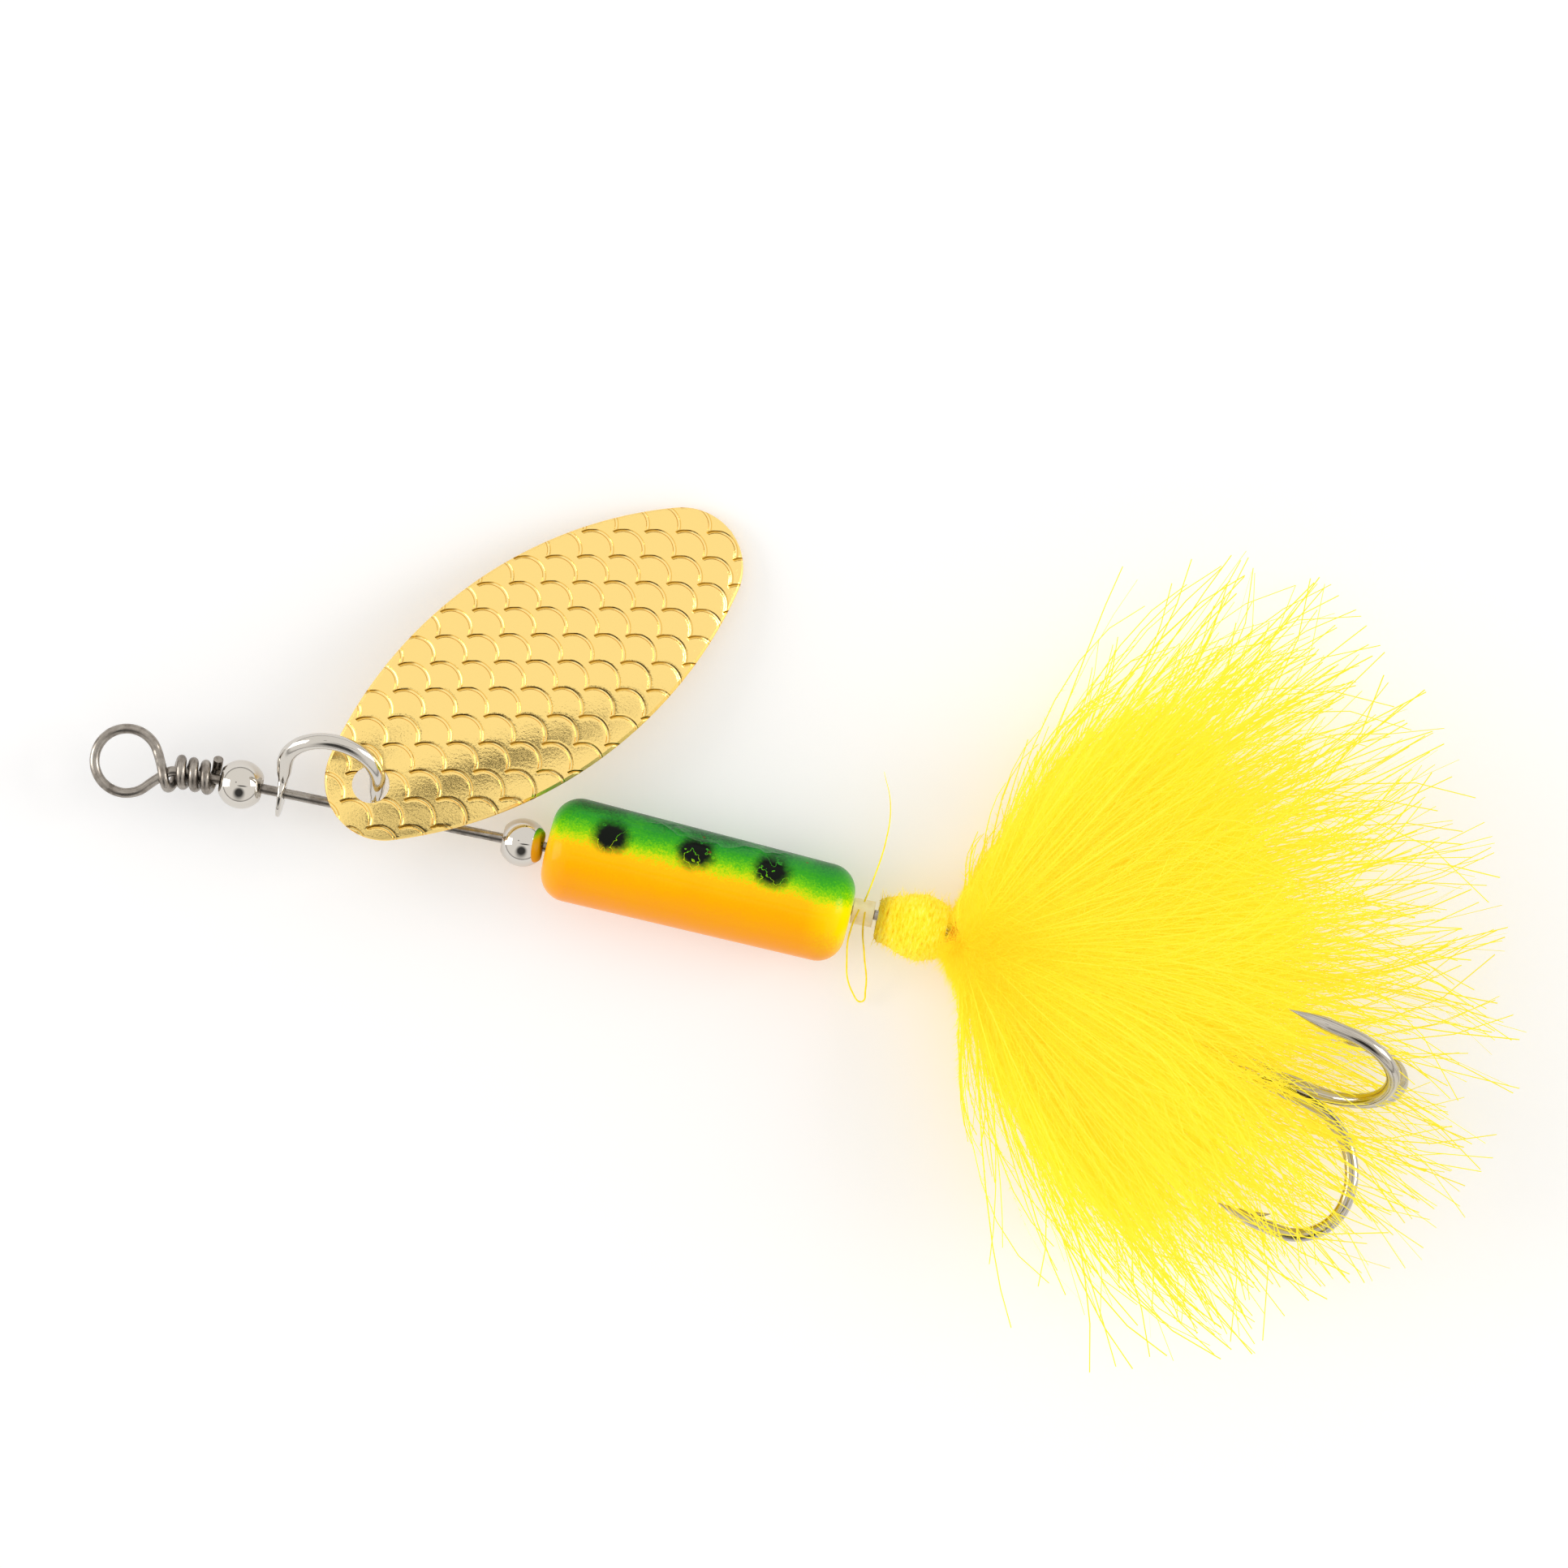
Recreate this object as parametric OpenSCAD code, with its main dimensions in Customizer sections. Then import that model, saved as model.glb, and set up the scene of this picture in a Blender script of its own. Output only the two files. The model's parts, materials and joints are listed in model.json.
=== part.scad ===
// Inline spinner: a wire shaft with a line-tie eye, two beads, a stirrup clevis with a
// scaled blade, a painted weight and a feather-dressed treble hook.
// The shaft lies along +X from the line-tie eye at the origin. +Z is up, away from the
// surface that the lure lies on. The blade leans out towards +Y.

/* [Shaft wire] */
// Diameter of the stainless shaft wire
wire_d = 0.81; // [0.7:0.01:0.9]
// Centreline radius of the line-tie eye
eye_r = 2.6; // [2.3:0.05:3.2]
// Distance from the eye's centre to the neck, where the wrap starts
eye_neck = 3.5; // [3.4:0.05:4.0]
// Depth of the narrow flat that the forming pin leaves inside the eye
eye_land = 0.02; // [0.01:0.005:0.04]
// Turns that the tag end makes round the shaft
wrap_turns = 3.75; // [2.75:1:5.75]
// Distance from one turn of the wrap to the next
wrap_pitch = 1.0; // [0.95:0.01:1.3]
// Gap between the shaft and the inside of the wrap
wrap_gap = 0.19; // [0.1:0.01:0.3]
// Length of the cut tag end that stands off the wrap
tag_len = 1.5; // [0.8:0.1:2]
// Bare shaft left free between the clevis and the rear bead
free_len = 10.3; // [9:0.1:16]
// Centreline radius of the rear loop that carries the hook
loop_r = 1.25; // [1.2:0.01:1.4]
// Gap between the shaft and the loop's returned end, inside the sleeve
return_gap = 0.05; // [0.03:0.01:0.1]

/* [Beads] */
// Diameter of the two nickel beads
bead_d = 3.97; // [3.6:0.01:4.4]
// Diameter of a bead's drilled hole
bead_hole_d = 1.3; // [1.1:0.05:1.5]
// Diameter of the dished mouth of that hole
bead_dish_d = 2.1; // [1.8:0.05:2.3]
// Clearance that is left between free pieces that meet on the shaft
stack_gap = 0.1; // [0.05:0.01:0.3]

/* [Clevis] */
// Distance between the clevis's two eyelets, centre to centre
clevis_span = 7.6; // [7.3:0.1:9]
// Straight height of a clevis leg above the shaft's axis
clevis_leg = 3.8; // [3.6:0.05:5]
// Wire diameter at the crown of the clevis
crown_d = 1.3; // [1.2:0.05:1.4]
// Wire diameter where a leg meets its eyelet
leg_d = 1.05; // [0.9:0.05:1.15]
// Radius of an eyelet's flattened plate
eyelet_r = 2.0; // [1.7:0.05:2.0]
// Thickness of an eyelet's plate
eyelet_t = 0.5; // [0.4:0.05:0.6]
// Radial clearance of the eyelets on the shaft
eyelet_clear = 0.09; // [0.05:0.01:0.1]
// Angle of the clevis above the surface that the lure lies on
clevis_lean = 50; // [46:1:54]
// Bare shaft between the front bead and the clevis
clevis_free = 1.4; // [0.5:0.1:3]

/* [Blade] */
// Radius of the two long edges of the blade's outline
blade_edge_r = 35.3; // [33:0.1:38]
// Greatest width of the blade
blade_w = 17.6; // [15:0.1:18]
// Radius of the blade's two rounded ends
blade_end_r = 4.86; // [4.6:0.02:5.2]
// Sheet thickness of the blade
blade_t = 0.5; // [0.4:0.05:0.6]
// Radius of the blade's hollow along its length
hollow_long_r = 80; // [70:1:120]
// Radius of the blade's hollow across its width
hollow_cross_r = 24; // [22:1:40]
// Diameter of the hole that hangs the blade on the clevis
blade_hole_d = 3.0; // [2.8:0.05:3.2]
// Distance from the hole's centre to the end of the blade
blade_hole_edge = 3.66; // [3.4:0.02:4]
// Sideways offset of the hole from the blade's long axis
blade_hole_side = 0.36; // [0:0.02:0.5]
// How far the hole's centre lies in front of the clevis leg, which bears on its rear rim
blade_hang = 0.5; // [0.3:0.02:0.6]
// Angle of the blade from the shaft, seen from above
blade_yaw = 47.7; // [44:0.1:52]
// Angle that the blade's tip points down
blade_dip = 8.8; // [8:0.1:9]
// Angle that the blade rolls about its long axis
blade_roll = 2.4; // [1:0.1:3]

/* [Painted body] */
// Length of the painted body
body_len = 25.1; // [22:0.1:28]
// Diameter of the body just behind its rounded front
body_front_d = 8.5; // [7.5:0.1:9]
// Diameter of the body just ahead of its rounded rear
body_rear_d = 8.0; // [7:0.1:8.5]
// Radius that rounds both ends of the body
body_round_r = 2.2; // [1.5:0.1:2.4]
// Diameter of the loose bore for the shaft
body_bore_d = 2.3; // [2.3:0.05:2.6]
// Angle that the body sits askew on the shaft, as its loose bore allows
body_skew = 2.3; // [1:0.1:2.4]
// Sideways offset of the body's middle from the shaft
body_shift = 0.19; // [0:0.01:0.2]

/* [Sleeve] */
// Wall of the clear sleeve that holds the loop shut
sleeve_wall = 0.2; // [0.15:0.01:0.25]
// Clearance of the sleeve round the doubled wire
sleeve_clear = 0.03; // [0.02:0.01:0.06]
// Length of the sleeve
sleeve_len = 1.6; // [1.2:0.1:2]

/* [Treble hook] */
// Wire diameter of the hook
hook_d = 1.1; // [1:0.02:1.16]
// Straight length of the shank, from the pivot to where the bends start
shank_len = 34.6; // [32:0.1:38]
// Radius of the first half of each bend, next to the shank
bend_r1 = 6.2; // [5.5:0.1:7]
// Radius of the second half of each bend, next to the point
bend_r2 = 4.2; // [3.5:0.1:5]
// Length of the straight leg that ends in the point
point_leg = 5.2; // [4.6:0.1:6]
// Length of the ground point
point_len = 3.2; // [2.5:0.1:3.6]
// Distance from the point back to the tip of the barb
barb_back = 4.3; // [4:0.1:4.5]
// Inner radius of the hook's eye
hook_eye_r = 0.75; // [0.72:0.01:0.85]
// Play between the hook's eye and the wire loop
eye_play = 0.12; // [0.08:0.01:0.15]
// Angle of the shank from the shaft, seen from above
hook_yaw = -11.6; // [-13:0.1:-9]
// Angle that the shank rises towards the bends
hook_pitch = 10.4; // [9:0.1:11.5]
// Turn of the treble about its shank
hook_roll = -30.9; // [-34:0.1:-28]

/* [Yarn collar] */
// Diameter of the yarn collar at its middle
collar_d = 5.4; // [5.2:0.1:6]
// Diameter of the collar at its front mouth
collar_front_d = 3.4; // [3.3:0.1:3.8]
// Diameter of the collar at its rear
collar_rear_d = 4.2; // [4:0.1:4.6]
// Length of the collar ahead of the pivot
collar_ahead = 3.1; // [3:0.05:3.2]
// Length of the collar behind the pivot
collar_behind = 2.7; // [2.6:0.05:3.2]
// Radius of the collar's mouth round the doubled wire
mouth_r = 1.4; // [1.35:0.01:1.45]
// Sideways offset of the collar's middle from the pivot
collar_shift = 0.25; // [0:0.01:0.3]
// Clearance of the yarn round the shanks and the eye
yarn_clear = 0.05; // [0.03:0.01:0.1]

/* [Feather tail] */
// Feathers in each of the tail's two layers
layer_count = 6; // [6]
// Distance along the shank from the pivot to the tying thread
thread_at = 3.4; // [3.4:0.05:4]
// Length of the band of tying thread
thread_len = 0.9; // [0.6:0.05:1.4]
// Outer diameter of the band of tying thread
thread_d = 3.5; // [3.3:0.1:4]
// Radius of the ring of feather butts round the shank
butt_ring_r = 2.05; // [2:0.05:2.6]
// Gap between the thread and the feather butts
butt_gap = 0.2; // [0.1:0.05:0.3]
// Width of a feather at its tied butt
butt_w = 0.8; // [0.6:0.05:0.85]
// Thickness of a feather at its middle
feather_t = 2.2; // [1.8:0.1:2.3]
// Gap between a feather and the ones that lie over it
feather_gap = 0.15; // [0.1:0.05:0.3]

/* [Hidden] */
$fn = 48;

wire_r = wire_d / 2;
bead_r = bead_d / 2;
wrap_r = wire_d + wrap_gap;
neck_start = 60;
// the wire draws a little thin where it is bent sharply
neck_d = 0.94 * wire_d;
wrap_end_x = eye_neck + wrap_turns * wrap_pitch;
// flat ends of a drilled bead
bead_half = sqrt(pow(bead_r, 2) - pow(bead_dish_d / 2, 2));
bead_front_x = wrap_end_x + wire_r + stack_gap + bead_half;
clevis_x = bead_front_x + bead_r + clevis_free;
clevis_rear_x = clevis_x + clevis_span;
bead_rear_x = clevis_rear_x + free_len + bead_r;
body_x = bead_rear_x + bead_half + stack_gap + 0.2;
body_rear_x = body_x + body_len;
sleeve_x = body_rear_x + stack_gap;
return_z = -(wire_d + return_gap);
loop_z = return_z / 2;
pivot_x = sleeve_x + sleeve_len + 0.4 + collar_ahead;
loop_x = pivot_x - loop_r;
knee_x = loop_x - loop_r * 1.7;
pivot = [pivot_x, 0, loop_z];

// unit vectors of the treble: along the shank, sideways and up
shank_dir = [cos(hook_yaw) * cos(hook_pitch), sin(hook_yaw) * cos(hook_pitch), sin(hook_pitch)];
side_dir = [-sin(hook_yaw), cos(hook_yaw), 0];
up_dir = cross(shank_dir, side_dir);

// the three shanks lie side by side round the treble's axis, a braze film apart
braze_gap = 0.02;
shank_r = (hook_d + braze_gap) / sqrt(3);
eye_ring_r = hook_eye_r + hook_d / 2;
// half the angle that the hook's eye leaves open to its two shanks, and its steps round
eye_open = 50;
eye_step = 20;
// angle from one hook of the treble to the next
next_hook = 120;
eye_offset = eye_ring_r - (wire_r + hook_d / 2 + eye_play);

// each feather: heading from the shaft, length and width; lower layer first
lower_heading = [60, 39, 18, -4, -25, -46];
lower_len = [28, 36, 42, 23, 42, 34];
lower_w = [11, 14, 14, 8, 14, 13];
upper_heading = [51, 29, 7, -14, -35, -57];
upper_len = [31, 37, 23.5, 23, 24, 29];
upper_w = [12, 14, 10, 8, 9, 9];
// height of the surface that the lower feathers lie on
rest_z = -4.25;
lower_z = rest_z + feather_t / 2;
upper_rise = 15;
level_step = feather_t + feather_gap;
// distance from the butts within which a feather reaches its own level
level_reach = 9;
tie = pivot + (thread_at + thread_len + butt_gap) * shank_dir;

// the blade hangs where the clevis's leg turns into its crown
blade_hole_z = clevis_leg * sin(clevis_lean);

// a round bar from a to b
module rod(a, b, d1, d2) {
    v = b - a;
    translate(a)
        rotate([0, acos(v[2] / norm(v)), atan2(v[1], v[0])])
            cylinder(h = norm(v), d1 = d1, d2 = d2);
}

module joint(at, d) {
    translate(at) sphere(d = d);
}

// triangles that close a tube of n rings of k points, with one more point at its tip
function tube_faces(n, k) = concat(
    [[for (j = [0:k - 1]) j]],
    [for (i = [0:n - 2], j = [0:k - 1]) [i * k + j, (i + 1) * k + j, i * k + (j + 1) % k]],
    [for (i = [0:n - 2], j = [0:k - 1])
        [i * k + (j + 1) % k, (i + 1) * k + j, (i + 1) * k + (j + 1) % k]],
    [for (j = [0:k - 1]) [(n - 1) * k + j, n * k, (n - 1) * k + (j + 1) % k]]);

/* shaft wire */

function helix_at(a) = [
    eye_neck + (a - neck_start) / 360 * wrap_pitch, wrap_r * cos(a), wrap_r * sin(a)];
function helix_dir(a) =
    let (v = [wrap_pitch / (2 * PI), -wrap_r * sin(a), wrap_r * cos(a)]) v / norm(v);

// the wrap: rings of wire along a helix, then the straight tag end
module wrap() {
    sides = 10;
    step = 15;
    last = neck_start + wrap_turns * 360 - 90;
    turns = [for (a = [neck_start:step:last]) [helix_at(a), helix_dir(a)]];
    tag = [[helix_at(last) + tag_len * helix_dir(last), helix_dir(last)]];
    path = concat(turns, tag);
    rings = [for (p = path)
        let (u = p[1], out = [0, p[0][1], p[0][2]],
             n = out - (out * u) * u, w = n / norm(n), b = cross(u, w))
        for (j = [0:sides - 1])
            p[0] + wire_r * (cos(j * 360 / sides) * w + sin(j * 360 / sides) * b)];
    cap = path[len(path) - 1][0] + 0.02 * path[len(path) - 1][1];
    polyhedron(points = concat(rings, [cap]), faces = tube_faces(len(path), sides));
}

module bend_rod(a, b) {
    rod(a, b, neck_d, neck_d);
    joint(a, neck_d * 1.01);
    joint(b, neck_d * 1.01);
}

module eye() {
    half = acos(eye_r / (eye_neck + 0.1));
    top = eye_r * [cos(half), sin(half), 0];
    bottom = eye_r * [cos(half), -sin(half), 0];
    rotate([0, 0, half])
        rotate_extrude(angle = 360 - 2 * half)
            difference() {
                translate([eye_r, 0]) circle(r = wire_r);
                translate([0, -1]) square([eye_r - wire_r + eye_land, 2]);
            }
    bend_rod(top, helix_at(neck_start));
    bend_rod(bottom, [eye_neck + 0.1, 0, 0]);
}

module rear_loop() {
    open = 50;
    top = [loop_x - loop_r * cos(open), 0, loop_z + loop_r * sin(open)];
    bottom = [loop_x - loop_r * cos(open), 0, loop_z - loop_r * sin(open)];
    translate([loop_x, 0, loop_z])
        rotate([90, 0, 0])
            rotate([0, 0, open - 180])
                rotate_extrude(angle = 360 - 2 * open)
                    translate([loop_r, 0]) circle(r = wire_r);
    bend_rod([knee_x, 0, 0], top);
    bend_rod([knee_x, 0, return_z], bottom);
    rod([sleeve_x + 0.1, 0, return_z], [knee_x, 0, return_z], wire_d, wire_d);
}

module shaft_wire() {
    color("#9b9a97") {
        eye();
        wrap();
        rod([eye_neck + 0.1, 0, 0], [knee_x, 0, 0], wire_d, wire_d);
        rear_loop();
    }
}

/* beads */

module bead(x) {
    dish = (bead_dish_d - bead_hole_d) / 2;
    translate([x, 0, 0])
        rotate([0, 90, 0])
            difference() {
                sphere(d = bead_d);
                cylinder(h = bead_d + 1, d = bead_hole_d, center = true);
                for (side = [0, 180])
                    rotate([side, 0, 0])
                        translate([0, 0, bead_half - dish])
                            cylinder(h = 2 * dish, d1 = bead_hole_d, d2 = bead_hole_d + 4 * dish);
            }
}

module bead_front() {
    color("#d9d8d6") bead(bead_front_x);
}

module bead_rear() {
    color("#d9d8d6") bead(bead_rear_x);
}

/* clevis: a stirrup that stands on the shaft and leans towards the blade */

module eyelet_bore() {
    rotate([0, 90, 0])
        cylinder(h = 4 * eyelet_t, d = wire_d + 2 * eyelet_clear, center = true);
}

module clevis() {
    crown_r = clevis_span / 2;
    color("#c9c8c6")
        translate([clevis_x, 0, 0])
            rotate([clevis_lean - 90, 0, 0])
                difference() {
                    union() {
                        for (x = [0, clevis_span]) {
                            translate([x - eyelet_t / 2, 0, 0])
                                rotate([0, 90, 0]) cylinder(h = eyelet_t, r = eyelet_r);
                            rod([x, 0, eyelet_r * 0.7], [x, 0, clevis_leg], leg_d, crown_d);
                        }
                        translate([crown_r, 0, clevis_leg])
                            rotate([90, 0, 0])
                                rotate_extrude(angle = 180)
                                    translate([crown_r, 0]) circle(d = crown_d);
                    }
                    for (x = [0, clevis_span])
                        translate([x, 0, 0]) eyelet_bore();
                }
}

/* blade: a hollowed sheet with two long curved edges and rounded ends */

function blade_centre_y() = blade_edge_r - blade_w / 2;
function blade_end_x() =
    sqrt(pow(blade_edge_r - blade_end_r, 2) - pow(blade_centre_y(), 2));
blade_half_len = blade_end_x() + blade_end_r;
blade_mid = [blade_half_len - blade_hole_edge, -blade_hole_side, 0];

// one quarter of the outline: long edge from the middle, then the rounded end
function blade_quarter() =
    let (cy = blade_centre_y(), ex = blade_end_x(), turn = atan2(cy, ex))
    concat(
        [for (i = [0:10]) let (a = 90 - (90 - turn) * i / 10)
            [blade_edge_r * cos(a), blade_edge_r * sin(a) - cy]],
        [for (i = [1:7]) let (a = turn * (1 - i / 7))
            [ex + blade_end_r * cos(a), blade_end_r * sin(a)]]);

module blade_outline() {
    q = blade_quarter();
    n = len(q);
    polygon(concat(
        q,
        [for (i = [n - 2:-1:0]) [q[i][0], -q[i][1]]],
        [for (i = [1:n - 1]) [-q[i][0], -q[i][1]]],
        [for (i = [n - 2:-1:1]) [-q[i][0], q[i][1]]]));
}

// hollow sheet, its crown touching z = 0 at the middle
module blade_sheet() {
    ring_r = hollow_long_r - hollow_cross_r;
    reach = 2 * asin(blade_half_len / hollow_long_r) + 6;
    translate([0, 0, -hollow_long_r])
        rotate([90, 0, 0])
            rotate([0, 0, 90 - reach / 2])
                rotate_extrude(angle = reach)
                    intersection() {
                        translate([ring_r, 0])
                            difference() {
                                circle(r = hollow_cross_r);
                                circle(r = hollow_cross_r - blade_t);
                            }
                        translate([ring_r + hollow_cross_r * 0.6, -hollow_cross_r])
                            square([hollow_cross_r, 2 * hollow_cross_r]);
                    }
}

module place_blade() {
    translate([clevis_rear_x - blade_hang, blade_hole_z / tan(clevis_lean) - 0.1, blade_hole_z])
        rotate([0, 0, blade_yaw])
            rotate([0, blade_dip, 0])
                rotate([-blade_roll, 0, 0])
                    children();
}

module blade() {
    hole_sag = pow(blade_mid[0], 2) / (2 * hollow_long_r);
    color("#f2c85a")
        place_blade()
            difference() {
                translate(blade_mid + [0, 0, hole_sag + blade_t / 2])
                    intersection() {
                        blade_sheet();
                        translate([0, 0, -10])
                            linear_extrude(height = 20) blade_outline();
                    }
                cylinder(h = 8, d = blade_hole_d, center = true);
            }
}

/* painted body */

function arc_points(cx, cy, r, from, to, n) =
    [for (i = [0:n]) let (a = from + (to - from) * i / n) [cx + r * cos(a), cy + r * sin(a)]];

module lure_body() {
    front = body_front_d / 2;
    rear = body_rear_d / 2;
    r = body_round_r;
    mid_x = (body_x + body_rear_x) / 2;
    color("#ffa51e")
        translate([mid_x, -body_shift, 0])
            rotate([0, 0, -body_skew])
                rotate([0, 90, 0])
                    rotate_extrude()
                        polygon(concat(
                            [[body_bore_d / 2, -body_len / 2]],
                            arc_points(front - r, -body_len / 2 + r, r, -90, 0, 8),
                            arc_points(rear - r, body_len / 2 - r, r, 0, 90, 8),
                            [[body_bore_d / 2, body_len / 2]]));
}

/* sleeve that grips the doubled wire */

module loop_sleeve() {
    inner = (wire_d - loop_z * 2) / 2 + sleeve_clear;
    color("#b9b29a")
        translate([sleeve_x, 0, loop_z])
            rotate([0, 90, 0])
                rotate_extrude()
                    translate([inner, 0]) square([sleeve_wall, sleeve_len]);
}

/* treble hook: x runs along the shank from the pivot, z points up */

module place_treble() {
    translate(pivot)
        rotate([0, 0, hook_yaw])
            rotate([0, -hook_pitch, 0])
                children();
}

function flat_z() = shank_r + bend_r1 + bend_r2;
point_x = shank_len + bend_r1 - bend_r2 - point_leg;

// middle line of one hook from its shank to its point, as [x, height off the axis, radius]
function hook_path(start) =
    let (hook_r = hook_d / 2, turn_x = shank_len + bend_r1 - bend_r2)
    concat(
        [[start, shank_r, hook_r]],
        [for (a = [0:10:90])
            [shank_len + bend_r1 * sin(a), shank_r + bend_r1 * (1 - cos(a)), hook_r]],
        [for (i = [1:7]) let (a = 90 * i / 7)
            [turn_x + bend_r2 * cos(a), flat_z() - bend_r2 * (1 - sin(a)), hook_r]],
        [[point_x + point_len, flat_z(), hook_r],
         [point_x + point_len * 0.6, flat_z() - 0.05, hook_r * 0.8],
         [point_x + point_len * 0.25, flat_z() - 0.12, hook_r * 0.42],
         [point_x, flat_z() - 0.18, 0.05]]);

// the same path turned about the treble's axis, as [point, radius]
function turned(path, turn) = [for (p = path)
    [[p[0], -p[1] * sin(turn), p[1] * cos(turn)], p[2]]];

function reversed(list) = [for (i = [len(list) - 1:-1:0]) list[i]];

// round bar along a path of [point, radius]; ref is never along the path
module swept_wire(path, ref) {
    sides = 12;
    last = len(path) - 1;
    rings = [for (i = [0:last])
        let (ahead = path[min(last, i + 1)][0] - path[max(0, i - 1)][0],
             u = ahead / norm(ahead), side = cross(ref, u), w = side / norm(side),
             b = cross(u, w))
        for (j = [0:sides - 1])
            path[i][0] + path[i][1] * (cos(360 * j / sides) * w + sin(360 * j / sides) * b)];
    end = path[last][0] - path[last - 1][0];
    tip = path[last][0] + 0.03 * end / norm(end);
    polyhedron(points = concat(rings, [tip]), faces = tube_faces(last + 1, sides));
}

module barb() {
    rod([point_x + barb_back - 1.9, 0, flat_z() - 0.2],
        [point_x + barb_back, 0, flat_z() - 1.05], 0.5, 0.1);
}

module hook_pair() {
    eye_turn = [for (a = [-eye_open:-eye_step:eye_open - 360])
        [[eye_offset + eye_ring_r * cos(a), eye_ring_r * sin(a), 0], hook_d / 2]];
    start = eye_offset + eye_ring_r + 0.35 * hook_d;
    color("#b3b1ad")
        place_treble() {
            swept_wire(
                concat(
                    reversed(turned(hook_path(start), hook_roll + next_hook)),
                    eye_turn,
                    turned(hook_path(start), hook_roll + 2 * next_hook)),
                [0, 0, 1]);
            for (turn = [next_hook, 2 * next_hook])
                rotate([hook_roll + turn, 0, 0]) barb();
        }
}

module hook_single() {
    color("#b3b1ad")
        place_treble()
            rotate([hook_roll, 0, 0]) {
                swept_wire(
                    turned(hook_path(eye_offset + eye_ring_r + 1.6 * hook_d), 0), [0, 1, 0]);
                barb();
            }
}

/* yarn collar: hollow over the joint, tight on the shanks behind it */

module yarn_collar() {
    wall_r = collar_d / 2;
    inside = eye_ring_r + hook_d / 2 + yarn_clear + collar_shift;
    color("#ffd400")
        difference() {
            translate([pivot_x, -collar_shift, loop_z])
                rotate([0, 90, 0])
                    rotate_extrude()
                        polygon([
                            [mouth_r, -collar_ahead],
                            [collar_front_d / 2, -collar_ahead],
                            [wall_r - 0.35, -collar_ahead + 1.4],
                            [wall_r, -0.6],
                            [wall_r, 0.8],
                            [wall_r - 0.3, 1.9],
                            [collar_rear_d / 2, collar_behind],
                            [0, collar_behind],
                            [0, inside],
                            [inside, inside - 0.3],
                            [inside, -1.2]]);
            place_treble() {
                for (turn = [0, next_hook, 2 * next_hook])
                    rotate([hook_roll + turn, 0, 0])
                        rod([1, 0, shank_r], [5, 0, shank_r],
                            hook_d + 2 * yarn_clear, hook_d + 2 * yarn_clear);
                rod([1, 0, 0], [5, 0, 0], hook_d, hook_d);
            }
        }
}

module tying_thread() {
    bundle_r = shank_r + hook_d / 2 + yarn_clear;
    color("#f2b800")
        place_treble()
            translate([thread_at, 0, 0])
                rotate([0, 90, 0])
                    rotate_extrude()
                        translate([bundle_r, 0]) square([thread_d / 2 - bundle_r, thread_len]);
}

/* feathers */

function ease(t) = let (u = min(1, max(0, t))) u * u * (3 - 2 * u);

// point of a feather's middle line; t runs from its butt to its tip
function feather_at(t, around, heading, length, lower, level) =
    let (butt = tie + butt_ring_r * (cos(around) * side_dir + sin(around) * up_dir),
         reach = t * length,
         layer_z = (lower ? lower_z : tie[2] + butt_ring_r) + level * level_step,
         rise = lower ? 0 : reach * sin(upper_rise) * (1 - 0.35 * t))
    [butt[0] + reach * cos(heading),
     butt[1] + reach * sin(heading),
     butt[2] + (layer_z - butt[2]) * ease(reach / level_reach) + rise];

module feather(around, heading, length, width, lower, level) {
    rings = 12;
    sides = 10;
    side = [-sin(heading), cos(heading), 0];
    pts = [for (i = [0:rings - 1])
        let (t = 0.97 * i / (rings - 1),
             p = feather_at(t, around, heading, length, lower, level),
             full = pow(sin(180 * pow(t, 1.5)), 1.2),
             w = butt_w + (width - butt_w) * full,
             h = butt_w + (feather_t - butt_w) * full)
        for (j = [0:sides - 1])
            p + [0, 0, h / 2 * sin(360 * j / sides)] + w / 2 * cos(360 * j / sides) * side];
    polyhedron(
        points = concat(pts, [feather_at(1, around, heading, length, lower, level)]),
        faces = tube_faces(rings, sides));
}

module feather_n(i) {
    lower = i <= layer_count;
    k = lower ? i - 1 : i - 1 - layer_count;
    around = (lower ? -1 : 1) * (15 + 150 * k / (layer_count - 1));
    color(lower ? "#ffd21c" : "#ffe53a")
        if (lower)
            feather(around, lower_heading[k], lower_len[k], lower_w[k], true, k % 2);
        else
            feather(around, upper_heading[k], upper_len[k], upper_w[k], false, k % 2);
}

shaft_wire();
bead_front();
clevis();
blade();
bead_rear();
lure_body();
loop_sleeve();
hook_pair();
hook_single();
yarn_collar();
tying_thread();
for (i = [1:2 * layer_count])
    feather_n(i);
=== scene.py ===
# Inline spinner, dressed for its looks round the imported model. Sizes in the sections are in
# millimetres, as on a tackle maker's drawing, and MM turns them into the frame's metres.
import json
import math

import bpy
import numpy as np
from mathutils import Euler, Matrix, Vector


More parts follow.
